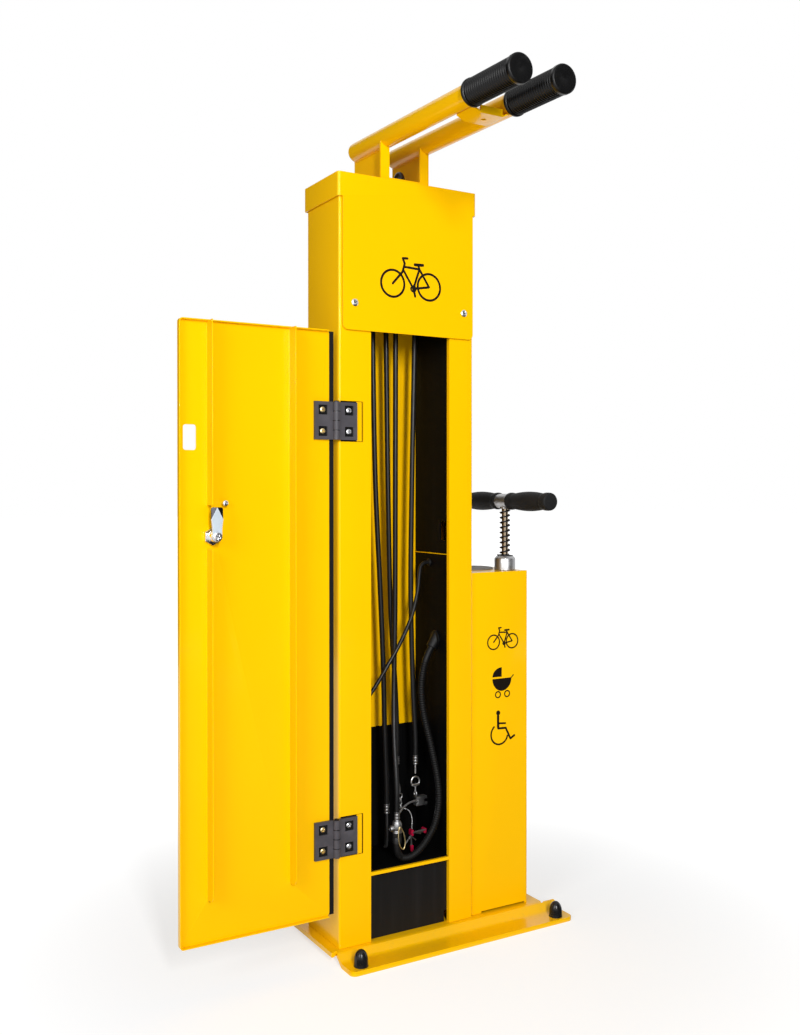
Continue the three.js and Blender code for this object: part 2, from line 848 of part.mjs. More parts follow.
// A ferrule with a bare wire below it, and a ring in the wire's end.
function ferrule_and_ring([x, y, top], ring_centre) {
  const [ring_x, ring_y, ring_z] = ring_centre;
  return join(
    ferrule([x, y, top]),
    strut(link_radius, [x, y, top - ferrule_length + link_radius],
      [ring_x, ring_y, ring_z + link_ring_radius]),
    ring(link_ring_radius, link_radius, ring_centre, [0, 1, 0]),
  );
}

function centred_block([x, y, z], width, depth, height) {
  return block(x - width / 2, x + width / 2, y - depth / 2, y + depth / 2, z - height / 2, z + height / 2);
}
add('tyre_lever', tyre_lever(), bright_steel);

// Hex key set: a ferrule, a bare wire, a swivel ring and a folding holder with one key folded out
function hex_key_set() {
  const [x, y, z] = last(key_cable_points);
  const top = z - seat_gap;
  const swivel = [x + key_swivel_shift, y, top - key_swivel_drop];
  const holder = [x + key_holder_shift, y - key_holder_lean, top - key_holder_drop];
  const [holder_x, holder_y, holder_z] = holder;
  const holder_left = holder_x - key_holder_width / 2;
  const holder_bottom = holder_z - key_holder_height / 2;
  return join(
    ferrule_and_ring([x, y, top], swivel),
    strut(link_radius, [swivel[0], y, swivel[2] - link_ring_radius],
      [holder_x - key_holder_width / 4, holder_y, holder_z + key_holder_height / 4]),
    centred_block(holder, key_holder_width, key_holder_depth, key_holder_height),
    block(holder_left, holder_left + key_blade_width, holder_y - key_blade_width / 2,
      holder_y + key_blade_width / 2, holder_bottom - key_blade_drop, holder_z),
  );
}
add('hex_key_set', hex_key_set(), red_plastic);

// Spanner: a ferrule, a shackle ring, a jaw block and a long handle that leans to the left
function spanner() {
  const [x, y, z] = last(spanner_cable_points);
  const top = z - seat_gap;
  const shackle = [x, y, top - shackle_drop];
  const jaw = [x + jaw_shift, y, top - jaw_drop];
  const handle_end = [x - spanner_handle_shift, y - spanner_handle_lean, top - spanner_handle_drop];
  return join(
    ferrule_and_ring([x, y, top], shackle),
    strut(jaw_neck_radius, [x, y, shackle[2] - link_ring_radius], [jaw[0] - jaw_width / 4, y, jaw[2]]),
    centred_block(jaw, jaw_width, jaw_depth, jaw_height),
    strut(spanner_handle_radius, jaw, handle_end),
  );
}
add('spanner', spanner(), bright_steel);

// Pump head: a sleeve over the hose, a body with its nozzle and lever, and the cable's ferrule on top
function pump_head() {
  const [x, y, z] = last(hose_points);
  const ferrule_top = last(pump_head_cable_points)[2] - seat_gap;
  const bottom = z + seat_gap;
  const sleeve_top = bottom + pump_head_sleeve_length;
  const body_top = sleeve_top + pump_head_length;
  return join(
    bar(hose_radius + pump_head_sleeve_wall, pump_head_sleeve_length + link_radius, [x, y, bottom],
      [0, 0, 1], small_sides),
    bar(pump_head_radius, pump_head_length, [x, y, sleeve_top]),
    bar(pump_head_nozzle_radius, pump_head_nozzle_reach, [x, y, (sleeve_top + body_top) / 2], [-1, 0, 0],
      small_sides),
    strut(pump_head_lever_radius, [x + pump_head_radius / 2, y, body_top - pump_head_lever_radius],
      [x + pump_head_lever_spread, y, body_top - pump_head_lever_length]),
    bar(ferrule_radius, ferrule_top - body_top, [x, y, body_top], [0, 0, 1], small_sides),
  );
}
add('pump_head', pump_head(), bright_steel);

// Pump hose: a ribbed tube with its bore, on a smooth curve through the chosen points
function ribbed_hose() {
  const path = new THREE.CatmullRomCurve3(
    hose_points.map((point) => new THREE.Vector3(...point)),
    false,
    'centripetal',
  );
  const samples = path.getSpacedPoints(2 * Math.floor(path.getLength() / hose_rib_pitch));
  const end_rings = Math.ceil(2 * 2 * hose_radius / hose_rib_pitch);
  let across = new THREE.Vector3(0, 1, 0);
  const stations = samples.map((centre, i) => {
    const before = samples[Math.max(i - 1, 0)];
    const after = samples[Math.min(i + 1, samples.length - 1)];
    const along = after.clone().sub(before).normalize();
    across = across.clone().addScaledVector(along, -across.dot(along)).normalize();
    const plain = i < end_rings || i >= samples.length - end_rings;
    const crest = i % 2 === 0;
    const radius = plain || crest ? hose_radius : hose_radius - hose_rib_depth;
    return { centre, across, other: along.clone().cross(across), radius };
  });
  const bore = stations
    .filter((station, i) => i % hose_rings_per_bore_ring === 0 || i === stations.length - 1)
    .map((station) => ({ ...station, radius: hose_bore_radius }));
  const points = [...ring_points(stations, hose_sides), ...ring_points(bore, hose_sides)];
  const bore_start = stations.length * hose_sides;
  const outer_end = bore_start - hose_sides;
  const bore_end = bore_start + (bore.length - 1) * hose_sides;
  const faces = [
    ...skin_faces(stations.length, hose_sides, 0, false),
    ...skin_faces(bore.length, hose_sides, bore_start, true),
  ];
  for (let i = 0; i < hose_sides; i += 1) {
    const j = (i + 1) % hose_sides;
    faces.push(i, bore_start + i, j, j, bore_start + i, bore_start + j);
    faces.push(outer_end + i, outer_end + j, bore_end + i, outer_end + j, bore_end + j, bore_end + i);
  }
  return indexed_solid(points, faces);
}
add('pump_hose', ribbed_hose(), black_rubber);

// Hose gland: a flange on the side liner and an angled neck that the hose leaves
const neck = bar(hose_gland_radius, hose_gland_length + 2 * hose_gland_radius, [
  hose_exit[0] + hose_direction.x * seat_gap,
  hose_exit[1] + hose_direction.y * seat_gap,
  hose_exit[2] + hose_direction.z * seat_gap,
], hose_direction.toArray());
add('hose_gland', join(
  cut(neck, block(side_liner_face - seat_gap, column_right, column_front, column_back, 0, lid_top)),
  bar(hose_gland_flange_radius, hose_gland_flange_thickness,
    [side_liner_face - seat_gap, hose_gland_centre[1], hose_gland_centre[2]], [-1, 0, 0]),
), black_plastic);

add('stay_cable', cord(stay_points, stay_radius, stay_steps), black_rubber);
const [stay_exit_x, stay_exit_y, stay_exit_z] = stay_points[0];
const stay_gland_reach = side_liner_face - seat_gap - stay_exit_x - seat_gap;
add('stay_gland', turned([
  [0, 0],
  [stay_gland_radius, 0],
  [stay_gland_radius, stay_gland_reach / 2],
  [stay_gland_tip_radius, stay_gland_reach],
  [0, stay_gland_reach],
], [side_liner_face - seat_gap, stay_exit_y, stay_exit_z], [-1, 0, 0], small_sides), black_plastic);
const [stay_end_x, stay_end_y, stay_end_z] = last(stay_points);
add('stay_clip', block(
  column_inside_left,
  stay_end_x - seat_gap,
  stay_end_y - stay_clip_width / 2,
  stay_end_y + stay_clip_width / 2,
  stay_end_z - stay_clip_height / 2,
  stay_end_z + stay_clip_height / 2,
), black_plastic);

// Door: a skin with a flange round its edge, and two stiffeners that enter the opening when it closes
function door() {
  const outer = rounded_outline(door_left, door_right, door_bottom, door_top, door_corner_radius);
  const inner = rounded_outline(door_left + door_sheet, door_right - door_sheet, door_bottom + door_sheet,
    door_top - door_sheet, door_corner_radius - door_sheet);
  const rim = cut(
    carried_back(outer, door_face - door_edge_flange, door_face + door_sheet),
    carried_back(inner, door_face - door_edge_flange - cut_overrun, door_face),
  );
  const hinge_side_cuts = block(door_right - door_sheet - cut_overrun, door_right + cut_overrun,
    door_face - door_edge_flange - cut_overrun, door_face,
    door_bottom - cut_overrun, door_top + cut_overrun);
  const stiffener = new THREE.Shape();
  const free_edge = door_face - stiffener_depth;
  stiffener.moveTo(door_face + door_sheet / 2, stiffener_bottom);
  stiffener.lineTo(door_face + door_sheet / 2, door_top - door_sheet / 2);
  stiffener.lineTo(free_edge, door_top - door_sheet / 2);
  stiffener.lineTo(free_edge, stiffener_bottom + stiffener_end_radius);
  stiffener.absarc(free_edge + stiffener_end_radius, stiffener_bottom + stiffener_end_radius,
    stiffener_end_radius, Math.PI, 3 * Math.PI / 2, false);
  const left = door_left + stiffener_left_inset;
  const right = door_right - stiffener_right_inset;
  const shell = join(
    cut(rim, hinge_side_cuts),
    cut(
      carried_across(stiffener, left, left + door_sheet),
      block(left - cut_overrun, left + door_sheet + cut_overrun, free_edge - cut_overrun, door_face,
        lock_height - cam_notch_below, lock_height + cam_notch_above),
    ),
    carried_across(stiffener, right - door_sheet, right),
  );
  const hole_left = door_left + hand_hole_inset;
  const hand_hole = rounded_outline(hole_left, hole_left + hand_hole_width,
    hand_hole_centre_height - hand_hole_height / 2, hand_hole_centre_height + hand_hole_height / 2,
    hand_hole_radius);
  return cut(shell, carried_back(hand_hole, door_face - cut_overrun, door_face + door_sheet + cut_overrun));
}
add('door_panel', door(), yellow_paint);

// Hinges: two leaves whose knuckles take turns on one pin, and a backing plate inside the column
function hinge_leaf(centre_height, side, first_knuckle) {
  const bottom = centre_height - hinge_height / 2;
  const knuckle_height = hinge_height / hinge_knuckle_count;
  const leaf_back = door_face - seat_gap;
  const leaf_front = door_face - hinge_leaf_thickness;
  const reach = door_axis_x + side * hinge_leaf_reach;
  const root = door_axis_x + side * (hinge_knuckle_radius + seat_gap);
  const web_end = root + side * hinge_web_overlap;
  let leaf = block(Math.min(root, reach), Math.max(root, reach), leaf_front, leaf_back, bottom,
    bottom + hinge_height);
  for (const share of [-1, 1]) {
    const pocket_x = door_axis_x + side * hinge_pocket_reach;
    const pocket_z = centre_height + share * hinge_pocket_spread / 2;
    leaf = cut(leaf, block(
      pocket_x - hinge_pocket_width / 2,
      pocket_x + hinge_pocket_width / 2,
      leaf_front - cut_overrun,
      leaf_front + hinge_pocket_depth,
      pocket_z - hinge_pocket_width / 2,
      pocket_z + hinge_pocket_width / 2,
    ));
  }
  for (let i = first_knuckle; i < hinge_knuckle_count; i += 2) {
    const low = bottom + i * knuckle_height + seat_gap / 2;
    const high = bottom + (i + 1) * knuckle_height - seat_gap / 2;
    leaf = join(
      leaf,
      bar(hinge_knuckle_radius, high - low, [door_axis_x, door_axis_y, low]),
      block(Math.min(door_axis_x, web_end), Math.max(door_axis_x, web_end), leaf_front, leaf_back,
        low, high),
    );
  }
  return cut(leaf, bar(hinge_pin_radius + hinge_pin_play, hinge_height + 2 * cut_overrun,
    [door_axis_x, door_axis_y, bottom - cut_overrun]));
}

function hinge_pin(centre_height) {
  const top = hinge_height + seat_gap;
  return turned([
    [0, 0],
    [hinge_pin_radius, 0],
    [hinge_pin_radius, top],
    [hinge_pin_head_radius, top],
    [hinge_pin_head_radius, top + hinge_pin_head_height],
    [0, top + hinge_pin_head_height],
  ], [door_axis_x, door_axis_y, centre_height - hinge_height / 2]);
}

for (const [place, height] of [['upper', hinge_upper_height], ['lower', hinge_lower_height]]) {
  const backing_left = column_left + column_corner_radius + seat_gap;
  const backing_front = column_front + column_sheet + seat_gap;
  add(`door_leaf_${place}`, hinge_leaf(height, -1, 0), black_plastic);
  add(`column_leaf_${place}`, hinge_leaf(height, 1, 1), black_plastic);
  add(`hinge_pin_${place}`, hinge_pin(height), spring_steel);
  add(`hinge_backing_${place}`, block(
    backing_left,
    backing_left + hinge_backing_width,
    backing_front,
    backing_front + hinge_backing_thickness,
    height - hinge_height / 2 - hinge_backing_margin,
    height + hinge_height / 2 + hinge_backing_margin,
  ), yellow_paint);
}

// Lock: a hexagon nut on the door, a barrel and a spigot; the cam turns on the spigot
const nut_start = door_face - seat_gap;
const barrel_end = door_face - lock_cam_offset + seat_gap;
const hexagon = [];
for (let i = 0; i < 6; i += 1) {
  const angle = i / 6 * 2 * Math.PI + Math.PI / 6;
  const corner_radius = lock_nut_flats / 2 / Math.cos(Math.PI / 6);
  hexagon.push([lock_x + corner_radius * Math.cos(angle), lock_height + corner_radius * Math.sin(angle)]);
}
const screw_face = cam_front - seat_gap;
add('lock_body', join(
  carried_back(polygon(hexagon), nut_start - lock_nut_thickness, nut_start),
  bar(lock_barrel_radius, nut_start - barrel_end, [lock_x, nut_start, lock_height], [0, -1, 0]),
  bar(lock_spigot_radius, nut_start - screw_face, [lock_x, nut_start, lock_height], [0, -1, 0]),
  bar(lock_screw_radius, lock_screw_thickness, [lock_x, screw_face, lock_height], [0, -1, 0]),
), bright_steel);

const cam_half = lock_cam_width / 2;
const cam_outline = new THREE.Shape();
cam_outline.moveTo(lock_x + cam_half, lock_height);
cam_outline.lineTo(lock_x + cam_half, lock_height + lock_cam_reach - lock_cam_tip_bevel);
cam_outline.lineTo(lock_x + cam_half - lock_cam_tip_bevel, lock_height + lock_cam_reach);
cam_outline.lineTo(lock_x - cam_half + lock_cam_tip_bevel, lock_height + lock_cam_reach);
cam_outline.lineTo(lock_x - cam_half, lock_height + lock_cam_reach - lock_cam_tip_bevel);
cam_outline.lineTo(lock_x - cam_half, lock_height);
cam_outline.absarc(lock_x, lock_height, cam_half, Math.PI, 2 * Math.PI, false);
add('lock_cam', cut(
  carried_back(cam_outline, cam_front, cam_front + lock_cam_thickness),
  bar(lock_spigot_radius + lock_cam_play, lock_cam_thickness + 2 * cut_overrun,
    [lock_x, cam_front - cut_overrun, lock_height], [0, 1, 0]),
), bright_steel);

const stud_x = door_left + stop_stud_inset;
add('stop_stud', turned([
  [0, 0],
  [stop_stud_neck_radius, 0],
  [stop_stud_neck_radius, stop_stud_reach - stop_stud_head],
  [stop_stud_radius, stop_stud_reach - stop_stud_head],
  [stop_stud_radius, stop_stud_reach - stop_stud_head / 2],
  [stop_stud_radius / 2, stop_stud_reach],
  [0, stop_stud_reach],
], [stud_x, door_face - seat_gap, lock_height + stop_stud_rise], [0, -1, 0], small_sides), bright_steel);

// Pump box: a folded box open below, with a slot along its front foot and holes in its top
function pump_box() {
  const bottom = plate_top + seat_gap;
  const outer = rounded_outline(pump_box_left, pump_box_right, pump_box_front, pump_box_back,
    pump_box_corner_radius);
  const inner = rounded_outline(pump_box_left + pump_box_sheet, pump_box_right - pump_box_sheet,
    pump_box_front + pump_box_sheet, pump_box_back - pump_box_sheet,
    pump_box_corner_radius - pump_box_sheet);
  return cut(
    raised(outer, bottom, pump_box_top),
    raised(inner, bottom - cut_overrun, pump_box_top - pump_box_sheet),
    block(pump_box_left + pump_box_tab_width, pump_box_right - pump_box_tab_right_width,
      pump_box_front - cut_overrun, pump_box_front + pump_box_sheet + cut_overrun, bottom - cut_overrun,
      bottom + pump_box_slot_height),
    bar(collar_neck_radius + seat_gap, pump_box_sheet + 2 * cut_overrun,
      [pump_x, pump_y, pump_box_top - pump_box_sheet - cut_overrun]),
    bar(plug_stem_radius + seat_gap, pump_box_sheet + 2 * cut_overrun,
      [plug_x, plug_y, pump_box_top - pump_box_sheet - cut_overrun], [0, 0, 1], fine_sides),
  );
}
const plug_x = pump_box_left + plug_left_inset;
const plug_y = pump_box_front + plug_setback;
add('pump_box', pump_box(), yellow_paint);

add('box_plug', turned([
  [0, -plug_stem_depth],
  [plug_stem_radius, -plug_stem_depth],
  [plug_stem_radius, 0],
  [plug_radius, 0],
  [plug_radius, plug_thickness / 2],
  [plug_radius - plug_thickness, plug_thickness],
  [0, plug_thickness],
], [plug_x, plug_y, pump_box_top + seat_gap], [0, 0, 1], fine_sides), black_rubber);

// Pump: a cylinder in the box, a collar on the box, and the rod with its piston and handle
const cylinder_bottom = plate_top + seat_gap;
const cylinder_top = pump_box_top - pump_box_sheet - seat_gap - cylinder_bottom;
const cylinder_bore = cylinder_radius - cylinder_wall;
add('pump_cylinder', turned([
  [0, 0],
  [cylinder_radius, 0],
  [cylinder_radius, cylinder_top],
  [cylinder_bore, cylinder_top],
  [cylinder_bore, cylinder_floor],
  [0, cylinder_floor],
], [pump_x, pump_y, cylinder_bottom], [0, 0, 1], fine_sides), bright_steel);

add('pump_collar', turned([
  [rod_radius + rod_play, -collar_neck_length],
  [collar_neck_radius, -collar_neck_length],
  [collar_neck_radius, 0],
  [collar_radius, 0],
  [collar_radius, collar_height - collar_chamfer],
  [collar_radius - collar_chamfer, collar_height],
  [rod_radius + rod_play, collar_height],
  [rod_radius + rod_play, -collar_neck_length],
], [pump_x, pump_y, collar_bottom], [0, 0, 1], fine_sides), bright_steel);

const socket_bottom = handle_height - hub_boss_depth;
const rod_top = socket_bottom + hub_socket_depth - seat_gap;
add('pump_rod', bar(rod_radius, rod_top - rod_foot_height, [pump_x, pump_y, rod_foot_height]), bright_steel);
add('pump_piston', turned([
  [0, 0],
  [cylinder_bore - piston_play, 0],
  [cylinder_bore - piston_play, piston_height],
  [0, piston_height],
], [pump_x, pump_y, rod_foot_height - seat_gap - piston_height], [0, 0, 1], fine_sides), black_rubber);

add('handle_hub', cut(
  join(
    bar(hub_radius, 2 * hub_half_length, [pump_x, pump_y - hub_half_length, handle_height], [0, 1, 0]),
    bar(handle_bar_radius, 2 * (handle_half_length - handle_grip_end_wall - seat_gap),
      [pump_x, pump_y - handle_half_length + handle_grip_end_wall + seat_gap, handle_height], [0, 1, 0]),
    bar(hub_boss_radius, hub_boss_depth, [pump_x, pump_y, socket_bottom]),
  ),
  bar(rod_radius + seat_gap, hub_socket_depth + cut_overrun, [pump_x, pump_y, socket_bottom - cut_overrun]),
), bright_steel);

// Grips of the pump handle: a swollen middle between two narrow necks, with a flange at each end
const grip_start = hub_half_length + seat_gap;
const grip_length = handle_half_length - grip_start;
const grip_bore = handle_bar_radius + seat_gap;
const grip_shape_shares = [
  [0, 0.35],
  [0.05, 0.35],
  [0.09, 0],
  [0.25, 0.7],
  [0.47, 1],
  [0.68, 0.65],
  [0.82, 0.05],
  [0.88, 0.4],
  [0.955, 0.4],
];
const grip_profile = [
  [grip_bore, 0],
  ...grip_shape_shares.map(([along, swell]) => [
    handle_grip_waist + (handle_grip_radius - handle_grip_waist) * swell,
    along * grip_length,
  ]),
  [handle_grip_end_radius, grip_length],
  [0, grip_length],
  [0, grip_length - handle_grip_end_wall],
  [grip_bore, grip_length - handle_grip_end_wall],
  [grip_bore, 0],
];
add('handle_grip_front', turned(grip_profile, [pump_x, pump_y - grip_start, handle_height], [0, -1, 0]),
  black_plastic);
add('handle_grip_back', turned(grip_profile, [pump_x, pump_y + grip_start, handle_height], [0, 1, 0]),
  black_plastic);

// Buffer spring: one wire that climbs a helix, with a straight end of one wire diameter at each end
function buffer_spring() {
  const coil_radius = spring_radius - spring_wire_radius;
  const low = collar_top + seat_gap + spring_wire_radius;
  const climb = socket_bottom - seat_gap - spring_wire_radius - low;
  const steps = spring_curls * spring_steps_per_curl;
  const stations = [];
  const station = (angle, height, shift) => {
    const outward = new THREE.Vector3(Math.cos(angle), Math.sin(angle), 0);
    const along = new THREE.Vector3(-Math.sin(angle), Math.cos(angle), 0);
    const centre = new THREE.Vector3(pump_x, pump_y, height)
      .addScaledVector(outward, coil_radius)
      .addScaledVector(along, shift);
    return { centre, across: outward, other: along.clone().cross(outward), radius: spring_wire_radius };
  };
  stations.push(station(0, low, -2 * spring_wire_radius));
  for (let i = 0; i <= steps; i += 1) {
    stations.push(station(i / spring_steps_per_curl * 2 * Math.PI, low + climb * i / steps, 0));
  }
  stations.push(station(spring_curls * 2 * Math.PI, low + climb, 2 * spring_wire_radius));
  const points = ring_points(stations, spring_sides);
  const faces = skin_faces(stations.length, spring_sides, 0, false);
  const end = (stations.length - 1) * spring_sides;
  for (let i = 1; i + 1 < spring_sides; i += 1) {
    faces.push(0, i + 1, i);
    faces.push(end, end + i, end + i + 1);
  }
  return { body: indexed_solid(points, faces), stations };
}

const spring = buffer_spring();
add('handle_spring', spring.body, spring_steel);

// Least gap between the spring's curls, measured between its stations half a curl or more apart
let least_gap = Infinity;
spring.stations.forEach((one, i) => {
  spring.stations.slice(i + spring_steps_per_curl / 2).forEach((other) => {
    least_gap = Math.min(least_gap, one.centre.distanceTo(other.centre) - 2 * spring_wire_radius);
  });
});
console.log(`least gap of the spring to itself: ${least_gap.toFixed(2)} mm`);

// Hanging arms: two tubes that rise gently to the back, made along their own axis and then laid on it
const arm_tilt = Math.atan(arm_slope);
const arm_direction = [0, -Math.cos(arm_tilt), -Math.sin(arm_tilt)];
const arm_height_at = (setback) => arm_centre_rise + arm_slope * setback;
const arm_point = (x, setback) => [x, column_front + setback, arm_height_at(setback)];
const along_arm = (distance) => distance / Math.cos(arm_tilt);
const arm_length = along_arm(arm_back_end + arm_front_end);
const arm_inner_radius = arm_radius - arm_wall;
const arm_round = arm_radius * arm_end_round_share;
const arm_bevel = arm_round * arm_end_bevel_share;
const arm_profile = [
  [0, 0],
  [arm_radius - arm_round, 0],
  [arm_radius - arm_bevel, arm_bevel],
  [arm_radius, arm_round],
  [arm_radius, arm_length],
  [arm_inner_radius, arm_length],
  [arm_inner_radius, arm_round],
  [0, arm_round],
];
const arm_grip_profile = [
  [0, arm_grip_length],
  [0, arm_grip_length - arm_grip_disc],
  [arm_radius + seat_gap, arm_grip_length - arm_grip_disc],
  [arm_radius + seat_gap, 0],
  [arm_grip_ring_radius, 0],
  [arm_grip_ring_radius, arm_grip_ring_width],
  [arm_grip_radius, arm_grip_ring_width],
  [arm_grip_radius, arm_grip_length - arm_grip_disc],
  [arm_grip_ring_radius, arm_grip_length - arm_grip_disc],
  [arm_grip_ring_radius, arm_grip_length],
  [0, arm_grip_length],
];
const arm_clearance = (x) => bar(arm_radius + seat_gap, arm_length, arm_point(x, arm_back_end),
  arm_direction, fine_sides);
const arm_sides = [['left', -arm_spread / 2], ['right', arm_spread / 2]];
for (const [side, x] of arm_sides) {
  const grip_back = along_arm(arm_back_end + arm_front_end) - (arm_grip_length - arm_grip_disc) + seat_gap;
  const grip_start_point = [
    x,
    column_front + arm_back_end + arm_direction[1] * grip_back,
    arm_height_at(arm_back_end) + arm_direction[2] * grip_back,
  ];
  const tube = turned(arm_profile, arm_point(x, arm_back_end), arm_direction, fine_sides);
  const grip = turned(arm_grip_profile, grip_start_point, arm_direction, fine_sides);
  add(`arm_${side}`, tube, yellow_paint);
  add(`arm_grip_${side}`, grip, black_rubber);
}

// Bracket on the lid: a floor, and an upright under each tube with a flange at its front
function arm_bracket() {
  const floor_bottom = lid_top + seat_gap;
  const upright_top = arm_height_at(bracket_depth);
  const half_plate = bracket_plate / 2;
  let bracket = block(-arm_spread / 2 - half_plate, arm_spread / 2 + half_plate, column_front,
    column_front + bracket_depth, floor_bottom, floor_bottom + bracket_plate);
  for (const [, x] of arm_sides) {
    bracket = join(
      bracket,
      block(x - half_plate, x + half_plate, column_front, column_front + bracket_depth, floor_bottom,
        upright_top),
      block(x - bracket_flange, x + half_plate, column_front, column_front + bracket_plate, floor_bottom,
        upright_top),
    );
  }
  const trim = polygon([
    [column_front - cut_overrun, arm_height_at(0) - arm_radius / 2],
    [column_front + bracket_depth + cut_overrun, arm_height_at(bracket_depth) - arm_radius / 2],
    [column_front + bracket_depth + cut_overrun, arm_height_at(bracket_depth) + arm_radius],
    [column_front - cut_overrun, arm_height_at(bracket_depth) + arm_radius],
  ]);
  return cut(
    bracket,
    carried_across(trim, -arm_spread, arm_spread),
    ...arm_sides.map(([, x]) => arm_clearance(x)),
  );
}
add('arm_bracket', arm_bracket(), yellow_paint);

const nut_base = lid_top + seat_gap + bracket_plate + seat_gap;
const nut_setbacks = [['front', bracket_nut_setback], ['back', bracket_nut_setback + bracket_nut_spacing]];
for (const [place, setback] of nut_setbacks) {
  add(`bracket_nut_${place}`, dome(bracket_nut_radius, bracket_nut_skirt, bracket_nut_height,
    [0, column_front + setback, nut_base]), black_plastic);
}

// Cross strap: a shallow trough between the tubes, with a lip at its front and a small hole
function cross_strap() {
  const centre_setback = -(strap_back + strap_front) / 2;
  const flat = arm_height_at(centre_setback) - strap_drop;
  const wing = flat + strap_wing_rise;
  const trough = polygon([
    [-strap_wing_half_width, wing],
    [-strap_flat_half_width, flat],
    [strap_flat_half_width, flat],
    [strap_wing_half_width, wing],
    [strap_wing_half_width, wing + strap_thickness],
    [strap_flat_half_width, flat + strap_thickness],
    [-strap_flat_half_width, flat + strap_thickness],
    [-strap_wing_half_width, wing + strap_thickness],
  ]);
  const front = column_front - strap_front;
  const back = column_front - strap_back;
  return cut(
    join(
      carried_back(trough, front, back),
      block(-strap_flat_half_width, strap_flat_half_width, front, front + strap_thickness, flat,
        flat + strap_lip),
    ),
    bar(strap_hole_radius, strap_thickness + 2 * cut_overrun, [0, (front + back) / 2, flat - cut_overrun],
      [0, 0, 1], small_sides),
    ...arm_sides.map(([, x]) => arm_clearance(x)),
  );
}
add('cross_strap', cross_strap(), yellow_paint);

export default meshes;
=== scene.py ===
"""Looks of a bicycle repair station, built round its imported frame. +Z is up and +Y goes to the back. The
scene is in metres. Pieces are drawn in millimetres, and put() scales them."""

import math

import bmesh
import bpy
import numpy as np
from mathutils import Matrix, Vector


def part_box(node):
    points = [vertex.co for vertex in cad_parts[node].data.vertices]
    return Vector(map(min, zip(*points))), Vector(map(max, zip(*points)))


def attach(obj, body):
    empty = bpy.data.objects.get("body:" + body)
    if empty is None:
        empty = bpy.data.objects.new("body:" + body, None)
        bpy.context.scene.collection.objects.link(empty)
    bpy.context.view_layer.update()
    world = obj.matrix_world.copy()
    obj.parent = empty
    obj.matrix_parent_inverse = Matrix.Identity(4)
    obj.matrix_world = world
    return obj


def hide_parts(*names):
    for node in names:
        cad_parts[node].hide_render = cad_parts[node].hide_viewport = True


bl_info = {
    "name": "Bicycle repair station",
    "version": (1, 0, 0),
    "blender": (4, 5, 0),
    "location": "View3D > Sidebar > Repair station",
    "description": "Builds the looks of a tool column with a door, hanging arms and a floor pump",
    "category": "Add Mesh",
}

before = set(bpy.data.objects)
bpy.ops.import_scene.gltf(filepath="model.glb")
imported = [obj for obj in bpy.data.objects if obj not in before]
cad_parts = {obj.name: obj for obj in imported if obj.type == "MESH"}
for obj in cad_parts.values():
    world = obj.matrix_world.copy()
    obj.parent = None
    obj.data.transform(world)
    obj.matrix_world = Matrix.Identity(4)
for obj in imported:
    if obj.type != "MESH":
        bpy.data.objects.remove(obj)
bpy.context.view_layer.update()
MM = 0.001
FULL_TURN = 2 * math.pi
UP, DOWN = (0, 0, 1), (0, 0, -1)
FRONT, BACK = (0, -1, 0), (0, 1, 0)
LEFT, RIGHT = (-1, 0, 0), (1, 0, 0)


# Shader maths ---------------------------------------------------------------

class Wire:
    """One output of a node. Sums written on it add Math nodes to the same material or world."""

    def __init__(self, recipe, socket):
        self.recipe = recipe
        self.socket = socket

    def math(self, operation, *values, clamp=False):
        inputs = dict(enumerate(values))
        return self.recipe.node("ShaderNodeMath", inputs, operation=operation, use_clamp=clamp)

    def __add__(self, other):
        return self.math("ADD", self, other)

    def __rsub__(self, other):
        return self.math("SUBTRACT", other, self)

    def __mul__(self, other):
        return self.math("MULTIPLY", self, other)

    __radd__ = __add__
    __rmul__ = __mul__

    def sine(self):
        """The sine of the value, in radians."""
        return self.math("SINE", self)

    def band(self, low, high):
        """0 below low and 1 above high, with a soft step between them."""
        ends = {"Value": self, "From Min": low, "From Max": high}
        return self.recipe.node("ShaderNodeMapRange", ends, interpolation_type="SMOOTHSTEP")


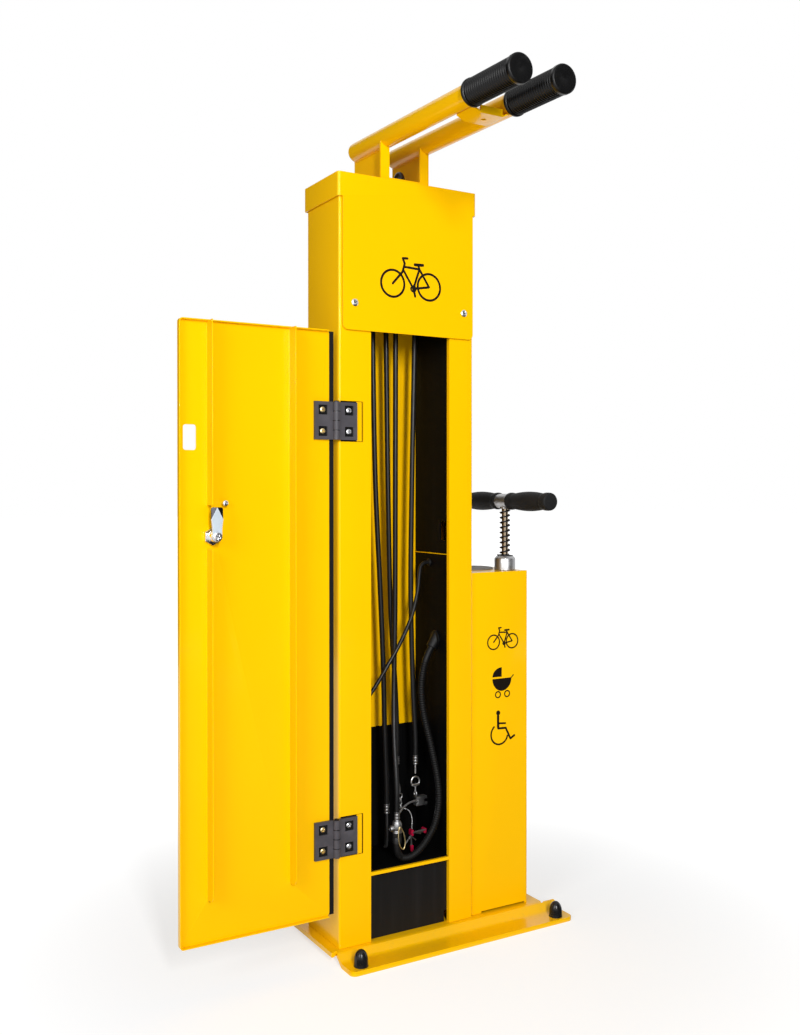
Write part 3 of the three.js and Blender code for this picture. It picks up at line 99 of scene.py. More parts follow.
class Recipe:
    """A material or world in the making: node() adds any node, and close() joins its shader to the output."""

    def __init__(self, name, kind="materials"):
        self.made = getattr(bpy.data, kind).new(name)
        self.made.use_nodes = True
        self.tree = self.made.node_tree
        self.tree.nodes.clear()
        self.place = self.node("ShaderNodeTexCoord", output="Object")

    def node(self, kind, inputs=None, output=0, **settings):
        """Any node, fed by wires and plain values, and the wire from one of its outputs."""
        made = self.tree.nodes.new(kind)
        for key, value in settings.items():
            setattr(made, key, value)
        for key, value in (inputs or {}).items():
            if isinstance(value, Wire):
                self.tree.links.new(value.socket, made.inputs[key])
            else:
                made.inputs[key].default_value = value
        return Wire(self, made.outputs[output])

    def stretched(self, scale):
        """Object coordinates, drawn out or pressed together by one scale or by one for each axis."""
        scales = tuple(np.broadcast_to(scale, 3))
        return self.node("ShaderNodeMapping", {"Vector": self.place, "Scale": scales})

    def noise(self, scale, detail=2.0, roughness=0.5, vector=None):
        """Cloudy noise from 0 to 1, with about scale cells to a metre."""
        inputs = {"Vector": vector or self.place, "Scale": scale, "Detail": detail, "Roughness": roughness}
        return self.node("ShaderNodeTexNoise", inputs)

    def mix(self, factor, one, other):
        """A colour between one and other."""
        return self.node("ShaderNodeMix", {0: factor, 6: rgba(one), 7: rgba(other)}, 2, data_type="RGBA")

    def axis(self, name):
        """Object coordinate X, Y or Z, in metres."""
        return self.node("ShaderNodeSeparateXYZ", {0: self.place}, name)

    def bump(self, height, distance):
        """A normal whose surface rises by distance where height is 1."""
        return self.node("ShaderNodeBump", {"Height": height, "Distance": distance})

    def surface(self, **sockets):
        """The material whose shader has these sockets."""
        inputs = {key.replace("_", " "): rgba(value) for key, value in sockets.items()}
        return self.close(self.node("ShaderNodeBsdfPrincipled", inputs))

    def close(self, shader, output="ShaderNodeOutputMaterial"):
        """The material or world, with shader joined to its output."""
        out = self.tree.nodes.new(output)
        self.tree.links.new(shader.socket, out.inputs["Surface"])
        return self.made


def rgba(value):
    """A colour of three numbers with its fourth; anything else as it is."""
    if isinstance(value, Wire) or not hasattr(value, "__len__") or len(value) != 3:
        return value
    return (*value, 1.0)


def shade(colour, share):
    """A colour made darker, or lighter above 1."""
    return tuple(min(1.0, channel * share) for channel in colour)


# Finishes -------------------------------------------------------------------

def powder_coat(name, colour, roughness):
    """Glossy powder coat: fine orange peel, slow clouds of tone, and a little dust close to the floor."""
    r = Recipe(name)
    dust_colour, dust_height, dust_share = (0.32, 0.22, 0.1), 0.045, 0.12
    cloud = r.noise(7.0, 3.0)
    tone = r.mix(cloud, shade(colour, 0.95), colour)
    low = 1 - r.axis("Z").band(0.0, dust_height)
    dust = low * r.noise(160.0, 4.0, 0.65).band(0.5, 0.75) * dust_share
    peel = r.noise(650.0, 2.0) + r.noise(45.0, 1.0) * 2.5
    return r.surface(
        Base_Color=r.mix(dust, tone, dust_colour),
        Roughness=roughness + r.noise(90.0, 3.0) * 0.1 + dust * 0.5,
        Specular_IOR_Level=0.4,
        Specular_Tint=(1.0, 0.72, 0.08),
        Coat_Weight=0.25,
        Coat_Roughness=0.1,
        Normal=r.bump(peel, 0.00002),
    )


def satin_sheet(name, colour, gloss):
    """Black satin powder coat on sheet: fine texture, and faint rubbed streaks up and down."""
    r = Recipe(name)
    streak = r.noise(60.0, 3.0, 0.6, r.stretched((1.0, 1.0, 0.06)))
    return r.surface(
        Base_Color=r.mix(streak.band(0.45, 0.8), colour, shade(colour, 1.7)),
        Roughness=0.42 + r.noise(300.0, 2.0) * 0.14,
        Specular_IOR_Level=gloss,
        Normal=r.bump(r.noise(1200.0, 2.0), 0.00004),
    )


def moulded_plastic(name, colour, roughness, grain):
    """Moulded plastic: fine spark-eroded grain, and smooth patches where hands rub it."""
    r = Recipe(name)
    rubbed = r.noise(55.0, 2.0).band(0.45, 0.7)
    return r.surface(
        Base_Color=r.mix(rubbed, colour, shade(colour, 1.25)),
        Roughness=roughness - rubbed * 0.08 + r.noise(500.0, 2.0) * 0.06,
        Specular_IOR_Level=0.3,
        Normal=r.bump(r.noise(grain, 3.0, 0.6), 0.00005),
    )


def soft_rubber(name, colour, roughness, gloss=0.22):
    """Matt rubber: close grain, and a trace of pale bloom."""
    r = Recipe(name)
    bloom = r.noise(120.0, 4.0, 0.6).band(0.5, 0.8)
    return r.surface(
        Base_Color=r.mix(bloom * 0.6, colour, shade(colour, 1.8)),
        Roughness=roughness + bloom * 0.12,
        Specular_IOR_Level=gloss,
        Normal=r.bump(r.noise(1500.0, 2.0, 0.6), 0.00005),
    )


def bare_metal(name, colour, roughness, streaks, depth=0.00001, metallic=1.0):
    """Bare metal: fine lines drawn out across the given scales, and dull smudges."""
    r = Recipe(name)
    lines = r.noise(1.0, 4.0, 0.7, r.stretched(streaks))
    smudge = r.noise(70.0, 3.0).band(0.4, 0.75)
    return r.surface(
        Base_Color=r.mix(lines, shade(colour, 0.8), colour),
        Metallic=metallic,
        Roughness=roughness + lines * 0.08 + smudge * 0.1,
        Normal=r.bump(lines, depth),
    )


def dark_film(name, colour):
    """Cut film on the paint: nearly black, a little worn into by fine scratches."""
    r = Recipe(name)
    scratch = r.noise(900.0, 3.0, 0.7, r.stretched((1.0, 1.0, 0.15))).band(0.62, 0.8)
    return r.surface(
        Base_Color=r.mix(scratch * 0.35, colour, shade(colour, 4.0)),
        Roughness=0.45 + scratch * 0.15,
        Specular_IOR_Level=0.2,
    )


def twisted_wire(name, colour):
    """Bare wire rope: bright strands that climb round it, with painted shade in the grooves between them."""
    r = Recipe(name)
    radians_to_a_metre = 2600.0
    climb = r.axis("Z") * radians_to_a_metre + r.axis("X") * radians_to_a_metre
    twist = climb.sine() * 0.5 + 0.5
    return r.surface(
        # The grooves' darker colour is painted shade between the strands
        Base_Color=r.mix(twist, shade(colour, 0.25), colour),
        Metallic=1.0,
        Roughness=0.42 - twist * 0.15,
        Normal=r.bump(twist, 0.0003),
    )


def make_finishes(settings):
    """Every finish of the station, by a short name."""
    black, steel = settings.black, settings.steel
    return {
        "paint": powder_coat("yellow_powder_coat", settings.yellow, settings.paint_roughness),
        "sheet": satin_sheet("black_satin_sheet", shade(black, 0.9), 0.2),
        # Liners: the black sheet made much darker than the kick panel's, as painted shade inside the column
        "liner": satin_sheet("black_liner_sheet_painted_shade", shade(black, 0.3), 0.03),
        "plastic": moulded_plastic("black_moulded_plastic", shade(black, 1.5), 0.38, 1400.0),
        "cap": moulded_plastic("black_gloss_cap", black, 0.2, 700.0),
        "cover": moulded_plastic("black_cable_cover", shade(black, 0.8), 0.36, 900.0),
        "grip": soft_rubber("black_grip_rubber", shade(black, 0.35), 0.36, 0.24),
        "foam": soft_rubber("black_handle_foam", shade(black, 0.8), 0.66),
        "hose": soft_rubber("black_hose_rubber", shade(black, 0.45), 0.5, 0.2),
        "plug": soft_rubber("grey_plug_rubber", settings.plug_grey, 0.6),
        "plug_black": soft_rubber("black_edge_strip_rubber", shade(black, 0.4), 0.8),
        "chrome": bare_metal("bright_chrome", steel, 0.1, 40.0, 0.0),
        "zinc": bare_metal("zinc_plated_steel", shade(steel, 0.92), 0.24, 300.0),
        "worn": bare_metal("worn_tool_steel", shade(steel, 0.36), 0.36, 400.0, 0.00002),
        "brass": bare_metal("yellow_passivated_steel", settings.passivated, 0.26, 300.0),
        "blade": bare_metal("satin_blade", settings.blade, 0.4, 300.0, metallic=0.35),
        "leaf": moulded_plastic("grey_hinge_plastic", settings.hinge_grey, 0.45, 1400.0),
        "turned": bare_metal("turned_steel", shade(steel, 0.6), 0.34, (8.0, 8.0, 3500.0)),
        # The pump rod's brown is painted reflection of the yellow column in its bright metal
        "rod_painted_reflection": bare_metal("pump_rod_painted_reflection", settings.rod_painted_reflection, 0.12, (300.0, 300.0, 8.0)),
        "dark_steel": bare_metal("dark_spring_steel", settings.spring_steel, 0.3, 500.0),
        "wire": twisted_wire("bare_wire_rope", shade(steel, 0.7)),
        "red": moulded_plastic("red_tool_plastic", settings.red, 0.34, 900.0),
        "film": dark_film("pictogram_film", settings.film),
    }


FINISHES = {}

# The finishes of the CAD nodes that aren't painted
CAD_FINISHES = {
    "sheet": "kick_panel back_liner side_liner_lower side_liner_upper",
    "zinc": "cable_rail pump_cylinder apron_screw_left apron_screw_right lock_body lock_cam stop_stud "
            "tyre_lever spanner pump_head",
    "turned": "pump_collar",
    "chrome": "pump_rod handle_hub",
    "dark_steel": "hinge_pin_upper hinge_pin_lower handle_spring",
    "plug": "box_plug pump_piston",
    "grip": "arm_grip_left arm_grip_right",
    "foam": "handle_grip_front handle_grip_back",
    "cover": "lever_cable key_cable pump_head_cable spanner_cable stay_cable pump_hose",
    "red": "hex_key_set",
    "plastic": "hose_gland stay_gland stay_clip door_leaf_upper door_leaf_lower column_leaf_upper "
               "column_leaf_lower",
    "cap": "floor_cap_front_left floor_cap_front_right floor_cap_back_left floor_cap_back_right "
           "bracket_nut_front bracket_nut_back",
}
CAD_FINISH_OF = {node: finish for finish, nodes in CAD_FINISHES.items() for node in nodes.split()}


# Surfaces -------------------------------------------------------------------

def unit(vectors):
    """Vectors shortened to a length of one."""
    vectors = np.asarray(vectors, float)
    return vectors / np.linalg.norm(vectors, axis=-1, keepdims=True)


def grid_faces(rows, columns, ring_rows=False, ring_columns=True):
    """The four-sided faces between neighbours on a grid whose rows and columns may close on themselves."""
    row = np.arange(rows if ring_rows else rows - 1)[:, None]
    column = np.arange(columns if ring_columns else columns - 1)[None, :]
    next_row, next_column = (row + 1) % rows, (column + 1) % columns
    corners = [
        row * columns + column,
        row * columns + next_column,
        next_row * columns + next_column,
        next_row * columns + column,
    ]
    return np.stack(corners, -1).reshape(-1, 4).tolist()


def across_axis(axis):
    """Two directions across an axis, square to it and to each other."""
    axis = unit(axis)
    helper = (1, 0, 0) if abs(axis[1]) > 0.9 else (0, 1, 0)
    side = unit(np.cross(axis, helper))
    return side, np.cross(axis, side)


def turned(profile, start, axis=UP, sides=48):
    """Point and face of the surface: start + distance * axis + radius * (cos * side + sin * other)."""
    radius, distance = np.asarray(profile, float).T
    side, other = across_axis(axis)
    angle = np.arange(sides) / sides * FULL_TURN
    ring = np.cos(angle)[:, None] * side + np.sin(angle)[:, None] * other
    points = np.asarray(start, float) + distance[:, None, None] * unit(axis) + radius[:, None, None] * ring
    return points.reshape(-1, 3), grid_faces(len(radius), sides)


def rod(radius, start, end, sides=24):
    """A plain rod from start to end."""
    span = np.subtract(end, start)
    length = float(np.linalg.norm(span))
    return turned([(0, 0), (radius, 0), (radius, length), (0, length)], start, span, sides)


def torus(radius, wire, centre, axis):
    """A ring whose section is a circle: centre + (radius + wire * cos v) * outward + wire * sin v * axis."""
    return turned(arc((radius, 0), wire, 0, 360, 13), centre, axis, 32)


def arc(middle, radii, start, end, steps):
    """Points on a circle or an ellipse: middle + (wide * cos a, high * sin a), with a in degrees."""
    angle = np.radians(np.linspace(start, end, steps))
    return np.add(middle, np.stack([np.cos(angle), np.sin(angle)], -1) * radii)


def curve_through(points, count):
    """Evenly spaced points on the smooth curve through points: cubic pieces whose tangents weigh each
    neighbour by the square root of its distance, with the first and last span carried on straight."""
    p = np.asarray(points, float)
    p = np.concatenate([[2 * p[0] - p[1]], p, [2 * p[-1] - p[-2]]])
    gap = np.sqrt(np.linalg.norm(np.diff(p, axis=0), axis=1))[:, None]
    before, here, after = gap[:-2], gap[1:-1], gap[2:]
    a, b, c, d = p[:-3], p[1:-2], p[2:-1], p[3:]
    start = ((b - a) / before - (c - a) / (before + here) + (c - b) / here) * here
    end = ((c - b) / here - (d - b) / (here + after) + (d - c) / after) * here
    t = np.linspace(0, 1, 60, endpoint=False)[None, :, None]
    square = 3 * (c - b) - 2 * start - end
    cube = 2 * (b - c) + start + end
    dense = b[:, None] + start[:, None] * t + square[:, None] * t**2 + cube[:, None] * t**3
    dense = np.concatenate([dense.reshape(-1, p.shape[1]), p[-2:-1]])
    run = np.concatenate([[0], np.cumsum(np.linalg.norm(np.diff(dense, axis=0), axis=1))])
    even = np.linspace(0, run[-1], count)
    return np.stack([np.interp(even, run, dense[:, i]) for i in range(p.shape[1])], -1)


def tube_rows(path, radius, sides, upright=(0, 1, 0)):
    """Rings round a path: path + radius * (cos * across + sin * other), with across square to the path."""
    along = unit(np.gradient(path, axis=0))
    upright = np.asarray(upright, float)
    across = unit(upright - (along @ upright)[:, None] * along)
    other = np.cross(along, across)
    angle = (np.arange(sides) / sides * FULL_TURN)[None, :, None]
    section = np.cos(angle) * across[:, None] + np.sin(angle) * other[:, None]
    return path[:, None] + np.broadcast_to(radius, len(path))[:, None, None] * section


def swept(path, radius, sides=16, upright=(0, 1, 0)):
    """A round rod along a path, closed at both ends."""
    rows = tube_rows(path, radius, sides, upright)
    ends = [np.broadcast_to(path[i], (1, sides, 3)) for i in (0, -1)]
    rows = np.concatenate([ends[0], rows, ends[1]])
    return rows.reshape(-1, 3), grid_faces(len(rows), sides)


def slab(outline, low, high, place):
    """A flat outline given a thickness: place turns its two coordinates and a height into points."""
    outline = np.asarray(outline, float)
    count = len(outline)
    points = np.concatenate([place(outline, low), place(outline, high)])
    here = np.arange(count)
    after = (here + 1) % count
    walls = np.stack([here, after, after + count, here + count], -1).tolist()
    return points, [here[::-1].tolist(), (here + count).tolist(), *walls]


def on_front(outline, y):
    """An outline in X and Z, at depth y."""
    return np.stack([outline[:, 0], np.full(len(outline), y), outline[:, 1]], -1)


def on_top(outline, z):
    """An outline in X and Y, at height z."""
    return np.stack([outline[:, 0], outline[:, 1], np.full(len(outline), z)], -1)


def on_side(outline, x):
    """An outline in Y and Z, at x."""
    return np.stack([np.full(len(outline), x), outline[:, 0], outline[:, 1]], -1)


def domed_head(radius, height, recess, start, axis, turn=0.0):
    """A round screw head: height * sqrt(1 - 0.8 (r / radius)^2), with a cross sunk into its middle."""
    sides, half_width, reach = 48, 0.17, 0.6
    share = np.linspace(0, 1, 15)[:, None]
    angle = np.arange(sides)[None, :] / sides * FULL_TURN
    x, y = share * np.cos(angle + turn), share * np.sin(angle + turn)
    near, far = np.minimum(abs(x), abs(y)), np.maximum(abs(x), abs(y))
    cross = np.clip((half_width - near) / 0.06, 0, 1) * np.clip((reach - far) / 0.08, 0, 1)
    rise = height * np.sqrt(1 - 0.8 * share**2) - recess * cross
    side, other = across_axis(axis)
    ring = np.cos(angle)[..., None] * side + np.sin(angle)[..., None] * other
    start, axis = np.asarray(start, float), unit(axis)
    rows = start + rise[..., None] * axis + radius * share[..., None] * ring
    foot = start + radius * ring
    centre = np.broadcast_to(start, (1, sides, 3))
    rows = np.concatenate([rows, foot, centre])
    return rows.reshape(-1, 3), grid_faces(len(rows), sides)


# Pieces ---------------------------------------------------------------------

SCREW_CREASE = 28.0


def put(name, shapes, finish, node=None, body="station", bevel=0.0, crease=35.0):
    """Joins shapes, in millimetres, into one object at the origin, merges its doubles, turns its faces out
    and sends it to its body. Edges sharper than crease degrees stay sharp, or get a small bevel."""
    points, faces, first = [], [], 0
    for corners, sides in shapes:
        points.append(corners)
        faces.extend([[first + i for i in side] for side in sides])
        first += len(corners)
    mesh = bpy.data.meshes.new(name)
    mesh.from_pydata((np.concatenate(points) * MM).tolist(), [], faces)
    shell = bmesh.new()
    shell.from_mesh(mesh)
    bmesh.ops.remove_doubles(shell, verts=shell.verts, dist=1e-6)
    bmesh.ops.dissolve_degenerate(shell, edges=shell.edges, dist=1e-7)
    bmesh.ops.recalc_face_normals(shell, faces=shell.faces)
    shell.to_mesh(mesh)
    shell.free()
    return settle(name, mesh, finish, node, body, bevel, crease)


def dressed(node, finish, bevel=0.4, body="station"):
    """A copy of a CAD solid with its doubles merged and its flat faces joined, whose edges get a small
    bevel, so that bends and rims catch the light."""
    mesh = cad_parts[node].data.copy()
    shell = bmesh.new()
    shell.from_mesh(mesh)
    bmesh.ops.remove_doubles(shell, verts=shell.verts, dist=2e-6)
    bmesh.ops.dissolve_limit(shell, angle_limit=math.radians(0.5), verts=shell.verts, edges=shell.edges)
    shell.to_mesh(mesh)
    shell.free()
    mesh.materials.clear()
    settle(f"{node}_finished", mesh, finish, node, body, bevel)


def settle(name, mesh, finish, node, body, bevel, crease=35.0):
    """Shades a mesh, links it as an object at the origin, hangs it under its body's empty and hides the CAD
    node that it stands for. Its material is the finish's own."""
    mesh.polygons.foreach_set("use_smooth", np.ones(len(mesh.polygons), bool))
    mesh.set_sharp_from_angle(angle=math.radians(crease))
    mesh.materials.append(FINISHES[finish])
    piece = bpy.data.objects.new(name, mesh)
    bpy.context.scene.collection.objects.link(piece)
    if bevel:
        edge = piece.modifiers.new("edges", "BEVEL")
        edge.width = bevel * MM
        edge.segments = 2
        edge.limit_method = "ANGLE"
        edge.angle_limit = math.radians(crease)
        edge.harden_normals = True
    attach(piece, body)
    if node:
        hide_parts(node)
    return piece


def ends_of(node):
    """The lowest and highest corner of a CAD node's box, in millimetres."""
    low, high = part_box(node)
    return np.array(low) / MM, np.array(high) / MM


def centre_of(node):
    """The middle of a CAD node's box, in millimetres."""
    low, high = ends_of(node)
    return (low + high) / 2


# Cord routes, from the CAD, in millimetres ----------------------------------

RAIL = 1159.7
HOSE_ROUTE = [
    (76.2, 96, 497.2), (69.6, 95.6, 486.4), (62.3, 94.8, 471), (56.3, 93.6, 450), (53, 92, 425),
    (54.5, 90, 395), (61, 88.5, 362), (69, 87, 330), (75, 84, 298), (78, 79, 272), (78.3, 74, 247),
    (77.4, 71.8, 228), (73.2, 70, 207.7), (66, 68.6, 188.6), (54, 67, 171.6), (38.7, 65.2, 156.8),
    (22.9, 63.4, 147), (8.2, 62.4, 143.2), (-4.6, 62, 145.8), (-12, 62, 154.6), (-14, 62, 165),
    (-14, 62, 172),
]
STAY_ROUTE = [
    (81, 116, 647.5), (75, 116, 647.5), (66.5, 114.5, 642), (60.5, 110.5, 628), (53, 103.5, 600),
    (33.4, 94.5, 552), (8.4, 90, 510), (-14.4, 90, 476), (-44.5, 94, 431), (-75, 101, 394),
    (-98, 107, 374), (-109, 109, 368), (-116, 109, 368),
]
LEVER_ROUTE = [
    (-36, 110, RAIL), (-36, 110, 1120), (-35, 110, 1040), (-30, 110, 800), (-21.5, 109, 620),
    (-15.2, 108, 470), (-12.6, 107, 350), (-9.5, 106, 252), (-9.5, 106, 228),
]
KEY_ROUTE = [
    (-3.6, 120, RAIL), (-3.6, 120, 1120), (-2.6, 120, 1040), (1.7, 120, 760), (7, 120, 560), (16, 119, 420),
    (18.6, 118, 335), (18.6, 118, 306),
]
PUMP_HEAD_ROUTE = [
    (7.5, 104, RAIL), (7.5, 104, 1120), (7.5, 104, 1040), (7, 104, 800), (5.6, 103, 560), (-0.5, 96, 430),
    (-9.1, 80, 350), (-14, 62, 262), (-14, 62, 226),
]
SPANNER_ROUTE = [
    (49.6, 108, RAIL), (49.6, 108, 1120), (48.6, 108, 1040), (42.8, 108, 760), (41, 108, 600),
    (45.2, 108, 440), (50.6, 108, 335), (50.6, 108, 306),
]


# Settings -------------------------------------------------------------------

def colour_of(name, description, default):
    """A colour that a user can change."""
    return bpy.props.FloatVectorProperty(
        name=name, description=description, subtype="COLOR", default=default, min=0, max=1)


def length_of(name, description, default):
    """A length in metres that a user can change."""
    return bpy.props.FloatProperty(name=name, description=description, unit="LENGTH", default=default)


def power_of(name, description, default):
    """A lamp's power in watts that a user can change."""
    return bpy.props.FloatProperty(name=name, description=description, subtype="POWER", default=default)


class FinishSettings(bpy.types.PropertyGroup):
    """Colours and gloss of the station."""

    yellow: colour_of("Yellow", "Powder coat of the sheet metal and tubes", (0.97, 0.53, 0.0))
    black: colour_of("Black", "Plastic, rubber and black sheet", (0.008, 0.008, 0.0085))
    plug_grey: colour_of("Plug grey", "Round plug in the pump box", (0.2, 0.19, 0.18))
    steel: colour_of("Steel", "Chromed and zinc-plated parts", (0.82, 0.82, 0.83))
    passivated: colour_of("Yellow zinc", "Screws on the door's side of the hinges", (0.85, 0.68, 0.34))
    blade: colour_of("Blade", "Satin front of the lock's cam", (0.6, 0.68, 0.76))
    hinge_grey: colour_of("Hinge grey", "Hinge leaves", (0.06, 0.056, 0.064))
    # The spring steel's dark also paints the shade on the cam's sloping facets
    spring_steel: colour_of(
        "Spring steel", "Spring and washer, hinge pins and the cam's dark facets", (0.035, 0.035, 0.04))
    # Brown of the pump rod: painted reflection of the yellow column in its bright metal
    rod_painted_reflection: colour_of("Oiled rod", "Pump rod under its film of oil", (0.34, 0.27, 0.19))
    red: colour_of("Red", "Holder of the key set", (0.34, 0.003, 0.03))
    film: colour_of("Film", "Pictograms", (0.007, 0.004, 0.002))
    paint_roughness: bpy.props.FloatProperty(
        name="Paint roughness", description="Roughness of the yellow coat", subtype="FACTOR",
        default=0.26, min=0, max=1)


class CordSettings(bpy.types.PropertyGroup):
    """Sizes of the cables and the hose in the column."""

    cable: length_of("Cable", "Diameter of a tool cable", 0.009)
    stay: length_of("Stay", "Diameter of the stay cable", 0.007)
    hose: length_of("Hose", "Outside diameter of the pump hose", 0.0124)
    hose_bore: length_of("Hose bore", "Inside diameter of the pump hose", 0.0072)
    hose_groove: length_of("Hose groove", "Depth of the grooves round the hose", 0.0009)
    hose_pitch: length_of("Hose pitch", "Distance from rib to rib", 0.004)


class GripSettings(bpy.types.PropertyGroup):
    """Sizes of the ribbed grips on the hanging arms."""

    ribs: bpy.props.IntProperty(name="Ribs", description="Ribs on each grip", default=20, min=4)
    rib_depth: length_of("Rib depth", "Height of a rib", 0.0017)
    end_round: length_of("End round", "Rounding of the end disc", 0.0025)


class PumpSettings(bpy.types.PropertyGroup):
    """Sizes of the pump's visible parts."""

    curls: bpy.props.IntProperty(name="Curls", description="Turns of the buffer spring", default=9, min=2)
    spring_wire: length_of("Spring wire", "Radius of the spring's wire", 0.0014)
    washer_radius: length_of("Washer", "Radius of the washer under the spring", 0.0152)


class StageSettings(bpy.types.PropertyGroup):
    """Floor, camera and lamps."""

    floor: colour_of("Floor", "Colour of the floor", (0.9, 0.9, 0.9))
    camera: bpy.props.FloatVectorProperty(
        name="Camera", description="Where the camera stands", subtype="TRANSLATION",
        default=(-0.9279, -1.5051, 0.7751))
    camera_turn: bpy.props.FloatProperty(
        name="Turn", description="How far the camera looks to the right", subtype="ANGLE",
        default=math.radians(30.41))
    camera_dip: bpy.props.FloatProperty(
        name="Dip", description="How far the camera looks down", subtype="ANGLE",
        default=math.radians(0.46))
    lens: bpy.props.FloatProperty(
        name="Lens", description="Focal length", subtype="DISTANCE_CAMERA", default=47.71)
    sky: bpy.props.FloatProperty(name="Sky", description="Strength of the even light", default=0.19)
    key_lamp: power_of("Key lamp", "Tall narrow lamp behind the camera", 82.0)
    left_lamp: power_of("Left lamp", "Wide soft lamp from the left", 44.0)


class StationSettings(bpy.types.PropertyGroup):
    """All settings of the repair station."""

    finishes: bpy.props.PointerProperty(type=FinishSettings)
    cords: bpy.props.PointerProperty(type=CordSettings)
    grips: bpy.props.PointerProperty(type=GripSettings)
    pump: bpy.props.PointerProperty(type=PumpSettings)
    stage: bpy.props.PointerProperty(type=StageSettings)


def settings_of(context):
    """The station's settings in the scene."""
    return context.scene.repair_station


class STATION_OT_camera(bpy.types.Operator):
    """Places the camera of the reference view"""

    bl_idname = "station.camera"
    bl_label = "Camera"

    def execute(self, context):
        stage = settings_of(context).stage
        data = bpy.data.cameras.new("view")
        data.sensor_fit = "HORIZONTAL"
        data.sensor_width = 36.0
        data.lens = stage.lens
        data.shift_y = -0.0218
        camera = bpy.data.objects.new("view", data)
        camera.location = stage.camera
        camera.rotation_euler = (math.pi / 2 - stage.camera_dip, 0.0, -stage.camera_turn)
        context.scene.collection.objects.link(camera)
        context.scene.camera = camera
        return {"FINISHED"}


class STATION_OT_finishes(bpy.types.Operator):
    """Makes every finish, and gives each CAD node the one that suits it"""

    bl_idname = "station.finishes"
    bl_label = "Finishes"

    def execute(self, context):
        FINISHES.update(make_finishes(settings_of(context).finishes))
        for node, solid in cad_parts.items():
            solid.data.materials.clear()
            solid.data.materials.append(FINISHES[CAD_FINISH_OF.get(node, "paint")])
        return {"FINISHED"}


class STATION_OT_tools(bpy.types.Operator):
    """Makes the tools that hang in the column"""

    bl_idname = "station.tools"
    bl_label = "Tools"

    def execute(self, context):
        make_lever()
        make_keys()
        make_spanner()
        make_pump_head()
        return {"FINISHED"}


def crimped(top, length=16, radius=5):
    """A ferrule below a cable's end: radius - pinch * sin(3 pi distance / length)^8, so three crimps."""
    pinch = 0.5
    distance = np.linspace(0, length, 41)
    waist = radius - pinch * np.sin(distance / length * 3 * math.pi) ** 8
    return turned([(0, 0), *zip(waist, distance), (0, length)], top, DOWN, 24)


def wire_between(start, end, sag, radius=1.5):
    """A short bare wire between two points, bowed sideways by sag: the straight line + sag * sin(pi t)."""
    start, end, sag = (np.asarray(p, float) for p in (start, end, sag))
    share = np.linspace(0, 1, 24)[:, None]
    path = start + (end - start) * share + sag * np.sin(share * math.pi)
    return swept(path, radius, 10)


def rounded(half_width, half_height, radius):
    """The outline of a rectangle about the origin, whose corners are quarter circles."""
    quarter = arc((half_width - radius, half_height - radius), radius, 0, 90, 5)
    turns = [quarter, (quarter * (-1, 1))[::-1], quarter * (-1, -1), (quarter * (1, -1))[::-1]]
    return np.concatenate(turns)


def make_lever():
    """Tyre lever: a flat steel bar, seen from its edge, with a hooked tip below its ferrule."""
    x, y, top = -9.5, 106, 227.7
    half_thickness = 1.4
    edge = [
        (-2.4, -12), (2.4, -12), (3, -30), (3.6, -52), (4.2, -68), (6, -75), (9, -77.5), (8.6, -79),
        (3, -78.4), (-1.4, -75), (-3.4, -68), (-3.6, -52), (-3, -30),
    ]
    bar = slab(np.add(edge, (y, top)), x - half_thickness, x + half_thickness, on_side)
    put("tyre_lever_bar", [crimped((x, y, top)), bar], "worn", "tyre_lever", bevel=0.4)


def make_keys():
    """Hex key set: a ferrule, bare wire, a swivel, and red ends with steel keys between and below them."""
    top, bend, swivel, holder = np.array(
        [(18.6, 118, 305.7), (19.3, 118, 262), (24.6, 118, 233.7), (45.6, 92, 174.7)])
    ferrule, key_gap = 14, 4
    put("hex_key_ferrule", [crimped(top, ferrule, 4.6)], "worn")
    links = [
        torus(radius, wire, swivel - (0, 0, drop), axis)
        for radius, wire, drop, axis in (
            (4.6, 1.1, 0, BACK), (3.6, 1, 7, RIGHT), (3.6, 1, 12.6, BACK), (3.6, 1, 18.2, RIGHT))
    ]
    put("hex_key_swivel", links, "zinc", bevel=0.2)
    wires = [
        wire_between(top - (0, 0, ferrule), bend, (0, 0, 0)),
        wire_between(bend, swivel + (0, 0, 5), (2, 0, 0)),
        wire_between(swivel - (0, 0, 20), holder + (-12, 0, 6), (9, 0, 8), 1.2),
    ]
    put("hex_key_wire", wires, "wire")
    keys = []
    for row, (reach, rise, radius) in enumerate([(27, 2, 1.9), (25, -3, 1.6), (22, -7, 1.3)]):
        start = holder + (-13, (row - 1) * key_gap, 0)
        keys.append(rod(radius, start, start + (reach, 0, rise), 6))
    corner = holder + (-14, 0, -6)
    for reach, rise, radius in [(2, -24, 1.8), (-13, -15, 1.5), (10, -9, 1.4)]:
        keys.append(rod(radius, corner, corner + (reach, 0, rise), 6))
    put("hex_key_blades", keys, "worn", bevel=0.1)
    ends = []
    for shift, height in ((-13, 11), (13, 9)):
        outline = rounded(2.6, height / 2, 2) + (holder[0] + shift, holder[2])
        ends.append(slab(outline, holder[1] - 5, holder[1] + 5, on_front))
    tip = rounded(2.4, 6, 2) + (corner[0] + 2, corner[2] - 22)
    ends.append(slab(tip, holder[1] - 2.5, holder[1] + 2.5, on_front))
    put("hex_key_holder", ends, "red", "hex_key_set", bevel=0.6)


